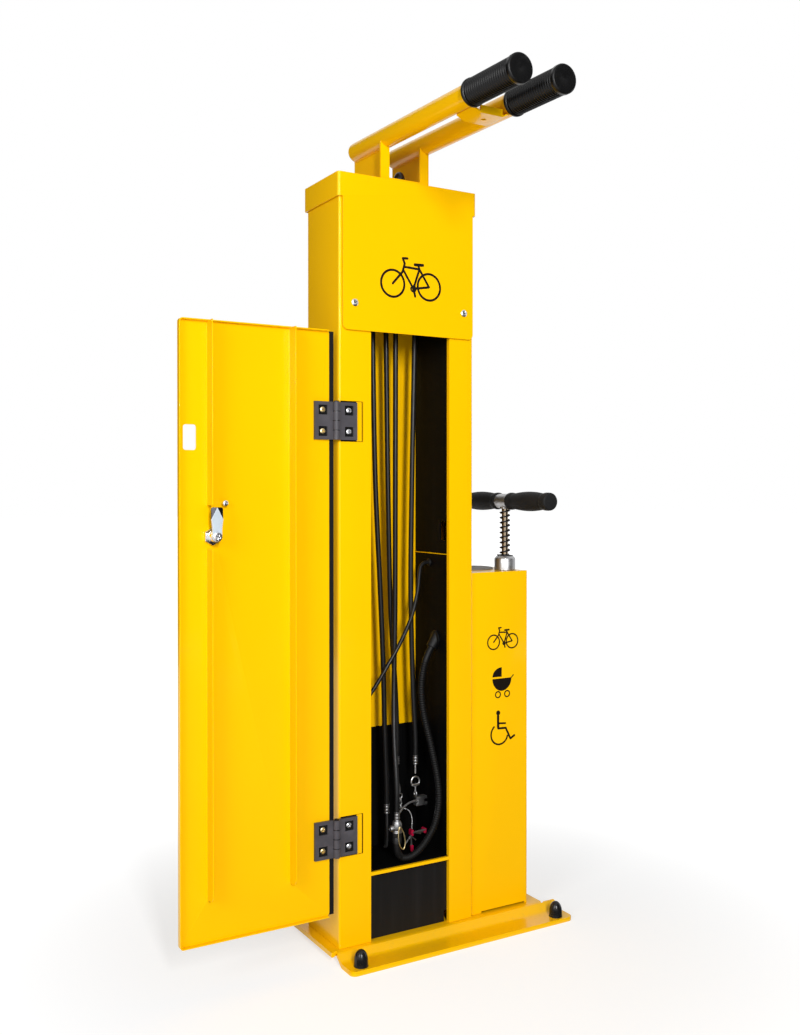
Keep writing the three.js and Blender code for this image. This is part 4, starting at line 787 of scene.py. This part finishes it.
def make_spanner():
    """Spanner: a ferrule, a shackle, a double jaw and a round handle that leans to the left."""
    top, ring, jaw, handle = np.array(
        [(50.6, 108, 305.7), (50.6, 108, 257.7), (60.6, 108, 223.7), (9.6, 98, 208.7)])
    put("spanner_ferrule", [crimped(top)], "worn")
    put("spanner_handle", [wire_between(jaw, handle, (-3, 0, 6), 2)], "wire")
    bite = [
        (-11, -8), (11, -8), (11, -3), (6, -3), (4, 0), (6, 3), (11, 3), (11, 8), (-11, 8), (-11, 3.4),
        (-7, 2.6), (-7, -2.6), (-11, -3.4),
    ]
    half_thickness = 6.5
    shapes = [
        rod(2.2, top - (0, 0, 15), top - (0, 0, 33), 12),
        torus(8.4, 1.6, ring + (0, 0, 1), BACK),
        rod(2.4, ring + (-8, 0, -5), ring + (8, 0, -5), 16),
        rod(1.6, ring - (0, 0, 4), ring - (0, 0, 18), 12),
        torus(4, 1.3, ring - (0, 0, 21), RIGHT),
        slab(np.add(bite, jaw[[0, 2]]), jaw[1] - half_thickness, jaw[1] + half_thickness, on_front),
    ]
    put("spanner_finished", shapes, "zinc", "spanner", bevel=0.5)


def make_pump_head():
    """Pump head: a sleeve on the hose, a ribbed body, a nozzle, a wire bail and the cable's ferrule."""
    foot = np.array((-14, 62, 172.3))
    sleeve = [(0, 0), (7.6, 0), (7.6, 9), (7, 10), (7.6, 11), (7.6, 17.8), (0, 17.8)]
    body = [(0, 18), (8.5, 18), (8.5, 19), (7.9, 20), (8.5, 21), (7.9, 22.4), (8.5, 24), (8.5, 34),
            (6.4, 38), (0, 38)]
    nozzle = [(0, 4), (5.5, 4), (5.5, 11), (4.4, 14), (2.6, 14), (2.6, 10), (0, 10)]
    put("pump_head_sleeve", [turned(sleeve, foot)], "plastic")
    shapes = [turned(body, foot), turned(nozzle, foot + (0, 0, 26), LEFT, 32), crimped(foot + (0, 0, 53.4))]
    put("pump_head_finished", shapes, "worn", "pump_head", bevel=0.3)
    loop = [(0, -9.6, 30), (4, -10, 25), (9, -10.5, 12), (10, -10.5, -1), (6, -10.5, -9), (0, -10.5, -2),
            (-3, -10.5, 12), (-2, -10, 25), (0, -9.6, 30)]
    put("pump_head_bail", [swept(curve_through(foot + loop, 72), 1, 10)], "brass")


class STATION_OT_cords(bpy.types.Operator):
    """Makes the four tool cables, the stay cable and the pump's ribbed hose"""

    bl_idname = "station.cords"
    bl_label = "Cables and hose"

    def execute(self, context):
        sizes = settings_of(context).cords
        cables = [
            ("lever", LEVER_ROUTE, 0.932, ["tyre_lever_bar"]),
            ("key", KEY_ROUTE, 0.854, ["hex_key_ferrule", "hex_key_swivel", "hex_key_wire"]),
            ("pump_head", PUMP_HEAD_ROUTE, 0.938,
             ["pump_head_finished", "pump_head_bail", "pump_head_sleeve"]),
            ("spanner", SPANNER_ROUTE, 0.854, ["spanner_ferrule", "spanner_handle", "spanner_finished"]),
        ]
        for tool, route, length, pieces in cables:
            make_cord(f"{tool}_cable", route, sizes.cable)
        make_cord("stay_cable", STAY_ROUTE, sizes.stay)
        make_hose(sizes)
        return {"FINISHED"}


def make_cord(node, route, diameter):
    """A plain round cord along its route."""
    path = curve_through(route, 160)
    piece = put(f"{node}_cover", [swept(path, diameter / MM / 2, 20)], "cover", node)


def make_hose(sizes):
    """Ribbed hose: rings along the route whose radius falls by depth * (0.5 - 0.5 cos(2 pi run / pitch))^2
    between ribs, over a plain bore. Two diameters at each end are smooth, as the cuffs are."""
    length, sides, rings_to_a_rib = 0.438, 24, 8
    outside, bore, depth, pitch = (
        size / MM for size in (sizes.hose, sizes.hose_bore, sizes.hose_groove, sizes.hose_pitch))
    stations = int(length / MM / pitch * rings_to_a_rib)
    path = curve_through(HOSE_ROUTE, stations)
    run = np.linspace(0, length / MM, stations)
    cuff = np.clip((np.minimum(run, run[::-1]) - 2 * outside) / pitch, 0, 1)
    groove = (0.5 - 0.5 * np.cos(run / pitch * FULL_TURN)) ** 2
    outer = tube_rows(path, outside / 2 - depth * groove * cuff, sides)
    inner = tube_rows(path[::16], bore / 2, sides)[::-1]
    rows = np.concatenate([outer, inner])
    shape = rows.reshape(-1, 3), grid_faces(len(rows), sides, ring_rows=True)
    piece = put("pump_hose_ribbed", [shape], "hose", "pump_hose", crease=60.0)
    path = path * MM


class STATION_OT_sheet_metal(bpy.types.Operator):
    """Finishes the column, lid, door, boxes, plates and liners with soft edges"""

    bl_idname = "station.sheet_metal"
    bl_label = "Sheet metal"

    def execute(self, context):
        for node in ("base_plate", "column_shell", "lid", "tool_shelf", "pump_box", "arm_bracket",
                     "cross_strap", "hinge_backing_upper", "hinge_backing_lower"):
            dressed(node, "paint")
        dressed("kick_panel", "sheet", 0.3)
        # The liners take the darker liner finish, which paints the shade inside the column
        for node in ("back_liner", "side_liner_lower", "side_liner_upper"):
            dressed(node, "liner", 0.3)
        dressed("cable_rail", "zinc", 0.3)
        gap = 0.2
        # A dark sheet on the shelf's top, in the liner finish whose darkness is painted shade
        shelf_sheet_low = (ends_of("tool_shelf")[0][0] + 1, 53, 136.02)
        shelf_sheet_high = (ends_of("side_liner_lower")[0][0] - gap, ends_of("back_liner")[0][1] - gap, 137.2)
        put("shelf_dark_sheet", [block(shelf_sheet_low, shelf_sheet_high)], "liner")
        put("seam_lip", [block((84, 55, 664.1), (85.6, 163, 665.3))], "paint")
        dressed("door_panel", "paint", 0.5, body="door")
        # A black strip along the door's hinge edge, which darkens the line between door and column
        seal = block((-149.3, 50.3, 80), (-141.3, 52, 1037))
        put("door_edge_black_strip", [seal], "plug_black", body="door", bevel=0.4)
        return {"FINISHED"}


def block(low, high):
    """A plain box between two corners."""
    (left, front, bottom), (right, back, top) = low, high
    return slab([(left, front), (right, front), (right, back), (left, back)], bottom, top, on_top)


class STATION_OT_hinges(bpy.types.Operator):
    """Finishes the two hinges: leaves, pins, eight screws in square pockets and the strip beside them"""

    bl_idname = "station.hinges"
    bl_label = "Hinges"

    def execute(self, context):
        for place in ("upper", "lower"):
            make_hinge(place)
        return {"FINISHED"}


def make_hinge(place):
    """Hinge: two leaves, a headed pin, screws in square pockets floored with dark plates of painted shade,
    dark rings of painted shade at the knuckles' joints, a strip of the column beside it and a dark sheet
    behind it that paints the shade of the gap."""
    dressed(f"door_leaf_{place}", "leaf", 0.8, body="door")
    dressed(f"column_leaf_{place}", "leaf", 0.8)
    pin = f"hinge_pin_{place}"
    low, high = ends_of(pin)
    x, y, _ = centre_of(pin)
    top = high[2] - low[2]
    profile = [(0, 0), (2.5, 0), (2.5, top - 1.5), (4, top - 1.5), (4, top - 0.5), (3.2, top), (0, top)]
    put(f"{pin}_turned", [turned(profile, (x, y, low[2]), UP, 32)], "dark_steel", pin)
    screw_reach, screw_rise, screw_seat, pocket = 24, 17.5, 47.35, (47.4, 47.52)
    for body, part, side, finish in (("door", "door", -1, "brass"), ("station", "column", 1, "zinc")):
        height = centre_of(f"{part}_leaf_{place}")[2]
        heads, pocket_shade_plates = [], []
        for rise in (-screw_rise, screw_rise):
            seat = np.array((x + side * screw_reach, screw_seat, height + rise))
            heads.append(domed_head(4.6, 2.2, 1.7, seat, FRONT, 0.5 + rise))
            # Dark plates on the pockets' floors: painted shade, so that the pockets read deep
            pocket_shade_plates.append(slab(rounded(7.9, 7.9, 0.6) + seat[[0, 2]], *pocket, on_front))
        put(f"hinge_screws_{part}_{place}", heads, finish, body=body, crease=SCREW_CREASE)
        put(f"hinge_pocket_shade_{part}_{place}", pocket_shade_plates, "cap", body=body)
    # Dark rings at the knuckles' joints: painted shade of the gaps between the knuckles
    joint_rise, joint_radius, half_joint = 15.5, 6.25, 0.5
    rings = [
        rod(joint_radius, (x, y, height + rise - half_joint), (x, y, height + rise + half_joint), 32)
        for rise in (-joint_rise, 0, joint_rise)
    ]
    put(f"hinge_joint_shade_{place}", rings, "cap")
    column_front = 50
    trim = rounded(4.8, 32.7, 0.5) + (-94.7, height)
    put(f"hinge_trim_{place}", [slab(trim, column_front - 2, column_front, on_front)], "paint", bevel=0.4)
    # A dark sheet behind the hinge's window: painted shade of the gap behind it
    gap = rounded(20.3, 33.4, 0.5) + (-108, height)
    put(f"hinge_gap_shade_{place}", [slab(gap, column_front + 0.03, column_front + 0.25, on_front)], "liner")


class STATION_OT_lock(bpy.types.Operator):
    """Finishes the lock: its nut and barrel, the pointed cam and the stop stud"""

    bl_idname = "station.lock"
    bl_label = "Lock"

    def execute(self, context):
        dressed("lock_body", "chrome", 0.6, body="door")
        x, _, z = centre_of("lock_body")
        cam_low, cam_high = ends_of("lock_cam")
        make_cam(x, z, cam_low[1], cam_high[1])
        head = domed_head(6.6, 1.2, 0.7, (x, ends_of("lock_body")[0][1] + 0.3, z), FRONT, 0.4)
        put("lock_screw", [head], "zinc", body="door", crease=SCREW_CREASE)
        low, high = ends_of("stop_stud")
        x, _, z = centre_of("stop_stud")
        recess = high[1] - low[1] - 1.2
        profile = [(0, 0), (3, 0), (3, 6), (4.8, 6.6), (4.8, 8.4), (4.3, 9.8), (3, 10.6), (1.6, 10.9),
                   (1.2, recess), (0, recess)]
        stud = turned(profile, (x, high[1], z), FRONT, 40)
        put("stop_stud_turned", [stud], "chrome", "stop_stud", body="door")
        return {"FINISHED"}


def make_cam(x, z, front, back):
    """Lock cam: a plate that widens from its round heel to a shoulder and runs to a point at the top, with a
    facet that slopes back from each side of the point, dark in the spring-steel finish as painted shade."""
    neck, half, shoulder, tip, top = 7.7, 9.5, 27, 44.5, 45
    right = [(neck, 12), (8.4, 19), (half, shoulder), (0.5, tip)]
    left = [(-across, up) for across, up in reversed(right)]
    outline = np.add([*arc((0, 0), neck, 180, 360, 13), *right, *left], (x, z))
    put("lock_cam_plate", [slab(outline, front, back, on_front)], "blade", "lock_cam", body="cam", bevel=0.4)
    facets = []
    for side in (-1, 1):
        flat = np.array([(half, shoulder), (0.6, tip - 0.2), (1, top), (half - 2.5, top),
                         (half - 0.6, top - 0.8), (half, top - 3)])
        points, (_, *others) = slab(flat * (side, 1) + (x, z), front, back, on_front)
        points[:6, 1] += (0.1, 0.1, 0.4, 1.6, 1.8, 1.6)
        facets.append((points, [[1, 2, 3], [1, 3, 4], [1, 4, 5], [1, 5, 0], *others]))
    put("lock_cam_facet_shade", facets, "dark_steel", body="cam", bevel=0.2)


class STATION_OT_fixings(bpy.types.Operator):
    """Makes the floor caps, the bracket nuts and the two apron screws"""

    bl_idname = "station.fixings"
    bl_label = "Caps and screws"

    def execute(self, context):
        for place in ("front_left", "front_right", "back_left", "back_right"):
            make_dome(f"floor_cap_{place}", 9)
        for place in ("front", "back"):
            make_dome(f"bracket_nut_{place}", 8)
        for side in ("left", "right"):
            node = f"apron_screw_{side}"
            low, high = ends_of(node)
            x, _, z = centre_of(node)
            rise = 2.4
            head = domed_head(6, rise, 1.2, (x, low[1] + rise, z), FRONT, 0.3)
            shank = rod(2.5, (x, low[1] + rise - 0.1, z), (x, high[1], z), 16)
            put(f"{node}_head", [head, shank], "zinc", node, crease=SCREW_CREASE)
        return {"FINISHED"}


def make_dome(node, skirt):
    """Dome cap: a short straight foot, then a quarter of an ellipse that is a little narrower."""
    low, high = ends_of(node)
    radius, height = (high[0] - low[0]) / 2, high[2] - low[2]
    dome = arc((0, skirt), (radius * 0.96, height - skirt), 0, 90, 17)
    profile = [(0, 0), (radius, 0), (radius, 1.2), (radius * 0.97, 2.2), *dome]
    put(f"{node}_domed", [turned(profile, (*centre_of(node)[:2], low[2]))], "cap", node)


# Hanging arms: half their distance, their fall per millimetre to the front, and the depth and height of
# one point on their axes
ARM_X, ARM_SLOPE, ARM_Y, ARM_Z = 38.8, 0.0294, 48, 1372.6


def arm_height(y):
    """Height of the arms' axes at depth y."""
    return ARM_Z + ARM_SLOPE * (y - ARM_Y)


class STATION_OT_arms(bpy.types.Operator):
    """Makes the two hanging arms, their weld beads and their ribbed grips"""

    bl_idname = "station.arms"
    bl_label = "Hanging arms"

    def execute(self, context):
        for side, x in (("left", -ARM_X), ("right", ARM_X)):
            make_arm(side, x, settings_of(context).grips)
        make_weld_beads()
        return {"FINISHED"}


def make_arm(side, x, sizes):
    """Arm: a tube with a rounded back end and an open front, and the ribbed grip on its front."""
    radius, bore, bend, back, level_reach, grip_reach, sides = 17, 14.5, 6.5, 166, 484, 116.7, 72
    axis = unit((0, -1, -ARM_SLOPE))
    length = level_reach * math.sqrt(1 + ARM_SLOPE**2)
    start = np.array((x, back, arm_height(back)))
    back_round = arc((radius - bend, bend), bend, -90, 0, 9)
    tube = [(0, 0), *back_round, (radius, length), (bore, length), (bore, bend), (0, bend)]
    put(f"arm_{side}_tube", [turned(tube, start, axis, sides)], "paint", f"arm_{side}")
    grip = turned(ribbed_profile(sizes), start + axis * (length - grip_reach), axis, sides)
    put(f"arm_grip_{side}_ribbed", [grip], "grip", f"arm_grip_{side}", crease=50.0)


def ribbed_profile(sizes):
    """The grip's section: a rounded ring, ribs of radius - depth + depth * sin^2, a smooth cuff and a flat
    end with a small dent in its middle."""
    length, radius, ring, inner, wall = 120, 20.5, 21.5, 17.3, 3
    depth, end = sizes.rib_depth / MM, sizes.end_round / MM
    first, last = 7, length - 9
    along = np.linspace(first, last, sizes.ribs * 8 + 1)
    wave = np.sin((along - first) / (last - first) * sizes.ribs * math.pi) ** 2
    ribs = np.stack([radius - depth + depth * wave, along], -1)
    lead = [(inner, 0), (ring - 1, 0), (ring, 1), (ring, 4), (ring - 0.8, 5), (radius - depth, 5.6)]
    cuff = [(ring - 0.6, last + 0.8), (ring, last + 1.6)]
    edge = arc((ring - end, length - end), end, 0, 90, 7)
    dent = [(3.2, length), (0.4, length - 0.9), (0, length - 0.9)]
    bore = [(0, length - wall), (inner, length - wall), (inner, 0)]
    return np.concatenate([lead, ribs, cuff, edge, dent, bore])


def make_weld_beads():
    """Weld beads under the arms: straight paths whose radius is 1.1 + 0.16 * sin(2 pi y / pitch)."""
    below_axis, half_gap, pitch, end_radius = 16.9, 2.6, 2.4, 0.5
    y = np.linspace(50, 164, 230)
    ripple = 1.1 + 0.16 * np.sin(y / pitch * FULL_TURN)
    ripple[[0, -1]] = end_radius
    beads = []
    for x in (-ARM_X, ARM_X):
        for shift in (-half_gap, half_gap):
            path = np.stack([np.full_like(y, x + shift), y, arm_height(y) - below_axis], -1)
            beads.append(swept(path, ripple, 10, RIGHT))
    put("arm_weld_beads", beads, "paint", crease=60.0)


class STATION_OT_pump(bpy.types.Operator):
    """Makes the pump: collar, washer, rod, buffer spring, hub and handle grips, and the box's round plug"""

    bl_idname = "station.pump"
    bl_label = "Pump"

    def execute(self, context):
        sizes = settings_of(context).pump
        x, y, _ = centre_of("pump_collar")
        make_collar(sizes, x, y)
        low, high = ends_of("pump_rod")
        # The rod's brown finish paints the yellow column's reflection in the chromed rod
        put("pump_rod_chromed", [rod(6, (x, y, low[2]), (x, y, high[2]), 48)], "rod_painted_reflection", "pump_rod",
            body="pump_handle", bevel=0.4)
        make_spring(sizes, x, y)
        make_handle(x, y)
        plug = [(0, 0), (37, 0), (37, 5), (42, 5), (42, 6.3), (41, 7.6), (39, 8), (33, 8), (32, 7.1),
                (29.5, 7.1), (28.5, 8), (10, 8), (9.4, 7.4), (0, 7.4)]
        foot = (*centre_of("box_plug")[:2], ends_of("box_plug")[0][2])
        put("box_plug_moulded", [turned(plug, foot, UP, 72)], "plug", "box_plug", crease=28.0)
        return {"FINISHED"}


def make_collar(sizes, x, y):
    """Pump collar: a turned sleeve with a flange and a chamfered head, a tilted washer and the rod's seal."""
    low, high = ends_of("pump_collar")
    seat, top = low[2] + 16, high[2]
    sleeve = np.add([(6.4, -16), (12.7, -16), (12.7, 0), (19, 0), (19.4, 0.5)], (0, seat))
    head = np.add([(19.4, -5.4), (19, -4.6), (14.9, -0.4), (14.2, 0), (6.4, 0), (6.4, -42.5)], (0, top))
    profile = np.concatenate([sleeve, head])
    put("pump_collar_turned", [turned(profile, (x, y, 0), UP, 72)], "turned", "pump_collar")
    inside, outside, under, over, tilted = 11.3, sizes.washer_radius / MM, 0.2, 1.3, (0.04, -0.02, 1)
    washer = [(inside, under), (outside, under), (outside, over), (inside, over), (inside, under)]
    put("spring_washer", [turned(washer, (x, y, top), tilted, 64)], "dark_steel", bevel=0.2)
    seal = [(6.3, 0.1), (7.5, 0.1), (7.4, 2), (6.6, 2.6), (6.3, 2.6), (6.3, 0.1)]
    put("rod_seal", [turned(seal, (x, y, top), UP, 40)], "grip")


def make_spring(sizes, x, y):
    """Buffer spring: middle + coil radius * (cos a, sin a), with the height climbing evenly."""
    low, high = ends_of("handle_spring")
    wire = sizes.spring_wire / MM
    coil = (high[0] - low[0]) / 2 - wire
    angle = np.linspace(0, sizes.curls * FULL_TURN, sizes.curls * 40 + 1)
    height = low[2] + wire + (high[2] - low[2] - 2 * wire) * angle / angle[-1]
    path = np.stack([x + coil * np.cos(angle), y + coil * np.sin(angle), height], -1)
    put("handle_spring_wire", [swept(path, wire, 12, UP)], "dark_steel", "handle_spring")


def make_handle(x, y):
    """Pump handle: a turned hub with its boss, the cross bar, and two grips that swell in the middle."""
    z = centre_of("handle_grip_front")[2]
    hub = [(0, -17), (12.4, -17), (13.5, -16), (13.5, 16), (12.4, 17), (0, 17)]
    bar = [(0, -128.7), (8, -128.7), (8, 128.7), (0, 128.7)]
    boss = [(0, -14.2), (8.4, -14.2), (9, -13.6), (9, 0), (0, 0)]
    shapes = [turned(hub, (x, y, z), BACK, 64), turned(bar, (x, y, z), BACK, 32), turned(boss, (x, y, z), UP)]
    put("handle_hub_chromed", shapes, "turned", "handle_hub", body="pump_handle")
    swell = curve_through([
        (14.7, 0), (15.4, 0.7), (15.7, 3.5), (15.5, 8), (14.6, 11.5), (14.3, 14), (15, 20), (16.2, 31),
        (17.1, 43), (17.5, 56), (17.2, 69), (16.4, 80), (15.2, 90), (14.2, 96.5), (14.3, 99.5), (15.5, 103),
        (15.9, 107), (15.8, 112.5), (15.3, 115.8), (14.2, 117.2), (12.6, 117.7),
    ], 110)
    bore, floor, gap = 8.3, 111.7, 17.3
    profile = [(bore, 0), *swell, (0, 117.7), (0, floor), (bore, floor), (bore, 0)]
    for side, axis in (("front", FRONT), ("back", BACK)):
        start = np.array((x, y, z)) + np.array(axis) * gap
        put(f"handle_grip_{side}_foam", [turned(profile, start, axis, 64)], "foam", f"handle_grip_{side}",
            body="pump_handle", crease=40.0)


class STATION_OT_glands(bpy.types.Operator):
    """Makes the hose gland, the stay cable's gland and its clip"""

    bl_idname = "station.glands"
    bl_label = "Glands"

    def execute(self, context):
        dressed("hose_gland", "hose", 0.6)
        dressed("stay_gland", "hose")
        dressed("stay_clip", "plastic", 0.8)
        return {"FINISHED"}


# Pictograms -----------------------------------------------------------------

class Drawing:
    """Thin flat shapes on a front face. Each shape is a little thicker than the last one, so that none
    shares a face with another."""

    def __init__(self, centre, face, scale=1.0):
        self.centre, self.face, self.scale = np.array(centre, float), face, scale
        self.shapes = []

    def front(self):
        """Depth of the next shape's front."""
        return self.face - 0.14 - 0.012 * len(self.shapes)

    def to_face(self, points):
        """Points of the drawing, in millimetres on the face."""
        return np.array(points, float) * self.scale + self.centre

    def plate(self, outline):
        """A filled outline."""
        self.shapes.append(slab(self.to_face(outline), self.face, self.front(), on_front))

    def line(self, width, *points):
        """Strokes with round ends from point to point."""
        for a, b in zip(points[:-1], points[1:]):
            turn = math.degrees(math.atan2(b[1] - a[1], b[0] - a[0]))
            ends = ((b, turn - 90), (a, turn + 90))
            self.plate([point for end, first in ends for point in arc(end, width / 2, first, first + 180, 9)])

    def hoop(self, centre, radius, width, start=0.0, end=360.0):
        """A ring, or an arc of it between two angles."""
        steps = 61
        outer, inner = (
            self.to_face(arc(centre, radius + side * width / 2, start, end, steps)) for side in (1, -1))
        front, back = self.front(), self.face
        rows = [on_front(edge, depth) for edge, depth in (
            (outer, back), (outer, front), (inner, front), (inner, back), (outer, back))]
        faces = grid_faces(len(rows), steps, ring_columns=False)
        if end - start < 360:
            faces += [[row * steps + column for row in range(4)] for column in (0, steps - 1)]
        self.shapes.append((np.concatenate(rows), faces))

    def disc(self, centre, radius):
        """A filled circle."""
        self.plate(arc(centre, radius, 0, 360, 33)[:-1])

    def finish(self, name):
        """Makes one piece of all shapes."""
        put(name, self.shapes, "film", crease=40.0)


def draw_bicycle(drawing, line):
    """A plain bicycle about its own middle: two wheels 41 apart, a diamond frame, bars and a saddle."""
    front, rear, crank = (-20.5, -5.2), (20.5, -5.2), (2.6, -8.4)
    seat, head = (9.5, 11.2), (-9, 9.2)
    drawing.hoop(front, 12.9, line)
    drawing.hoop(rear, 12.9, line)
    drawing.line(line, crank, rear, seat, crank, head, (-8, 12), seat)
    drawing.line(line, front, (-9.6, 7), (-7.2, 15.2), (-9.4, 20), (-4.2, 20.4))
    drawing.line(line, seat, (8.2, 14.8))
    drawing.line(line * 1.25, (4.4, 15.2), (13.4, 15.6))
    drawing.line(line, crank, (4.6, -15.6))
    drawing.hoop(crank, 2.6, line * 0.8)


def draw_pram(drawing):
    """A pram: a quarter of an ellipse for its hood, half of one for its bowl, a handle and two wheels."""
    corner = (-2.2, 10.6)
    drawing.plate([*arc(corner, (20.3, 17), 90, 180, 17), corner])
    drawing.plate(arc((-1.6, 7.4), (21, 22.6), 180, 360, 33))
    drawing.line(2.0, (18.6, 7.0), (23.8, 11.6))
    drawing.hoop((-10.5, -21.4), 5.4, 2.3)
    drawing.hoop((9.8, -21.4), 5.4, 2.3)


def draw_chair(drawing):
    """A person in a wheelchair, from the side: head, back, arm, leg and an open wheel."""
    drawing.disc((-10.6, 27.6), 4.4)
    drawing.line(5.0, (-10.8, 22), (-10.6, 1.0))
    drawing.line(3.2, (-9.6, 8.6), (5.4, 7.4))
    drawing.line(3.8, (-10.4, -0.6), (6.2, -1.2), (16.6, -21.6), (25.6, -16.8))
    drawing.hoop((-7.8, -11.2), 18.4, 3.2, 126, 350)


class STATION_OT_pictograms(bpy.types.Operator):
    """Makes the bicycle, pram and wheelchair signs on the pump box and a bicycle on the apron"""

    bl_idname = "station.pictograms"
    bl_label = "Pictograms"

    def execute(self, context):
        box, apron = 53.0, 43.0
        for name, centre, face, scale, draw, given in (
            ("sign_bicycle", (202.3, 509.0), box, 1.0, draw_bicycle, [2.5]),
            ("sign_bicycle_large", (2.5, 1134.9), apron, 1.75, draw_bicycle, [2.3]),
            ("sign_pram", (202.0, 430.0), box, 1.0, draw_pram, []),
            ("sign_wheelchair", (202.6, 348.0), box, 1.0, draw_chair, []),
        ):
            drawing = Drawing(centre, face, scale)
            draw(drawing, *given)
            drawing.finish(name)
        return {"FINISHED"}


# Stage ----------------------------------------------------------------------

WHITE = (1.0, 1.0, 1.0, 1.0)


class STATION_OT_stage(bpy.types.Operator):
    """Sets up the pale floor, the soft lamps, the even light and the dark cards that bright metal mirrors"""

    bl_idname = "station.stage"
    bl_label = "Stage"

    def execute(self, context):
        stage = settings_of(context).stage
        scene = context.scene
        scene.view_settings.view_transform = "Standard"
        flat_sheet(scene, "floor", 60.0, 60.0, floor_finish(stage.floor))
        self.lamp(scene, "key_lamp", stage.key_lamp, (0.3, 1.1), (-0.95, -2.9, 1.62), (0.0, 0.0, 0.75))
        self.lamp(scene, "left_lamp", stage.left_lamp, (1.2, 1.6), (-3.0, -1.6, 1.8), (0.0, 0.0, 0.8))
        self.card(scene, "dark_card_right", (1.9, -2.9, 1.4), (0.1, 0.0, 1.2), 3.6, 4.4)
        self.card(scene, "dark_card_left", (-1.7, 2.6, 1.4), (0.0, 0.0, 1.2), 3.6, 4.4)
        self.card(scene, "dark_card_low", (0.9, -1.6, 0.004), (0.9, -1.6, 1.0), 3.2, 2.8)
        make_sky(scene, stage.sky)
        return {"FINISHED"}

    def lamp(self, scene, name, power, size, place, target):
        """A rectangular soft lamp that faces target."""
        light = bpy.data.lights.new(name, "AREA")
        light.shape = "RECTANGLE"
        light.energy, (light.size, light.size_y) = power, size
        lamp = bpy.data.objects.new(name, light)
        lamp.location = place
        lamp.rotation_euler = aim(place, target)
        scene.collection.objects.link(lamp)

    def card(self, scene, name, place, target, width, height):
        """A dark card that only mirrors see, so that bright metal has something to show."""
        dark = Recipe(name).surface(Base_Color=(0.01, 0.01, 0.01), Roughness=1.0)
        flat_sheet(scene, name, width, height, dark, place, aim(place, target), seen=False)


def flat_sheet(scene, name, width, height, material, place=(0, 0, 0), turn=(0, 0, 0), seen=True):
    """A flat rectangle of the stage. One that isn't seen shows in mirrors alone."""
    x, y = width / 2, height / 2
    mesh = bpy.data.meshes.new(name)
    mesh.from_pydata([(-x, -y, 0), (x, -y, 0), (x, y, 0), (-x, y, 0)], [], [(0, 1, 2, 3)])
    mesh.materials.append(material)
    sheet = bpy.data.objects.new(name, mesh)
    sheet.location, sheet.rotation_euler = place, turn
    sheet.visible_camera = sheet.visible_diffuse = sheet.visible_shadow = seen
    scene.collection.objects.link(sheet)


def aim(place, target):
    """The turn of a lamp or card at place that faces target."""
    way = np.subtract(target, place)
    return (math.atan2(math.hypot(way[0], way[1]), -way[2]), 0.0, math.atan2(way[1], way[0]) - math.pi / 2)


def seen_directly(r):
    """1 for rays from the camera, in mirrors and through glass, and 0 for light that falls on things."""
    camera, glossy, through = (
        r.node("ShaderNodeLightPath", output=f"Is {ray} Ray") for ray in ("Camera", "Glossy", "Transmission"))
    return camera.math("ADD", camera + glossy, through, clamp=True)


def floor_finish(colour):
    """Pale matt floor that keeps shadows near the object and turns to plain white further out."""
    r = Recipe("studio_floor")
    matt = r.node("ShaderNodeBsdfDiffuse", {"Color": rgba(colour)})
    white = r.node("ShaderNodeEmission", {"Color": WHITE, "Strength": 1.25})
    distance = r.node("ShaderNodeVectorMath", {0: r.place}, "Value", operation="LENGTH")
    shadow_reach, white_from, least_white = 0.3, 1.3, 0.5
    away = distance.band(shadow_reach, white_from)
    far = (away * (1 - least_white) + least_white) * seen_directly(r)
    return r.close(r.node("ShaderNodeMixShader", {0: far, 1: matt, 2: white}))


def make_sky(scene, strength):
    """Even light of the given strength that shows as white wherever it is looked at."""
    r = Recipe("sky", "worlds")
    plain, white = (
        r.node("ShaderNodeBackground", {"Color": WHITE, "Strength": power}) for power in (strength, 1.0))
    shown = r.node("ShaderNodeMixShader", {0: seen_directly(r), 1: plain, 2: white})
    scene.world = r.close(shown, "ShaderNodeOutputWorld")


# Add-on ---------------------------------------------------------------------

SETTINGS = [FinishSettings, CordSettings, GripSettings, PumpSettings, StageSettings, StationSettings]
OPERATORS = [
    STATION_OT_camera, STATION_OT_finishes, STATION_OT_tools, STATION_OT_cords, STATION_OT_sheet_metal,
    STATION_OT_hinges, STATION_OT_lock, STATION_OT_fixings, STATION_OT_arms, STATION_OT_pump,
    STATION_OT_glands, STATION_OT_pictograms, STATION_OT_stage,
]


class STATION_PT_panel(bpy.types.Panel):
    """Lists the station's settings and steps"""

    bl_label = "Repair station"
    bl_space_type = "VIEW_3D"
    bl_region_type = "UI"
    bl_category = "Repair station"

    def draw(self, context):
        settings = settings_of(context)
        for group in (settings.finishes, settings.cords, settings.grips, settings.pump, settings.stage):
            box = self.layout.box()
            for key in group.__annotations__:
                box.prop(group, key)
        for step in OPERATORS:
            self.layout.operator(step.bl_idname)


CLASSES = [*SETTINGS, *OPERATORS, STATION_PT_panel]


def register():
    for made in CLASSES:
        bpy.utils.register_class(made)
    bpy.types.Scene.repair_station = bpy.props.PointerProperty(type=StationSettings)


def unregister():
    del bpy.types.Scene.repair_station
    for made in reversed(CLASSES):
        bpy.utils.unregister_class(made)


def main():
    register()
    for step in OPERATORS:
        getattr(bpy.ops.station, step.bl_idname.removeprefix("station."))()


if __name__ == "__main__":
    main()
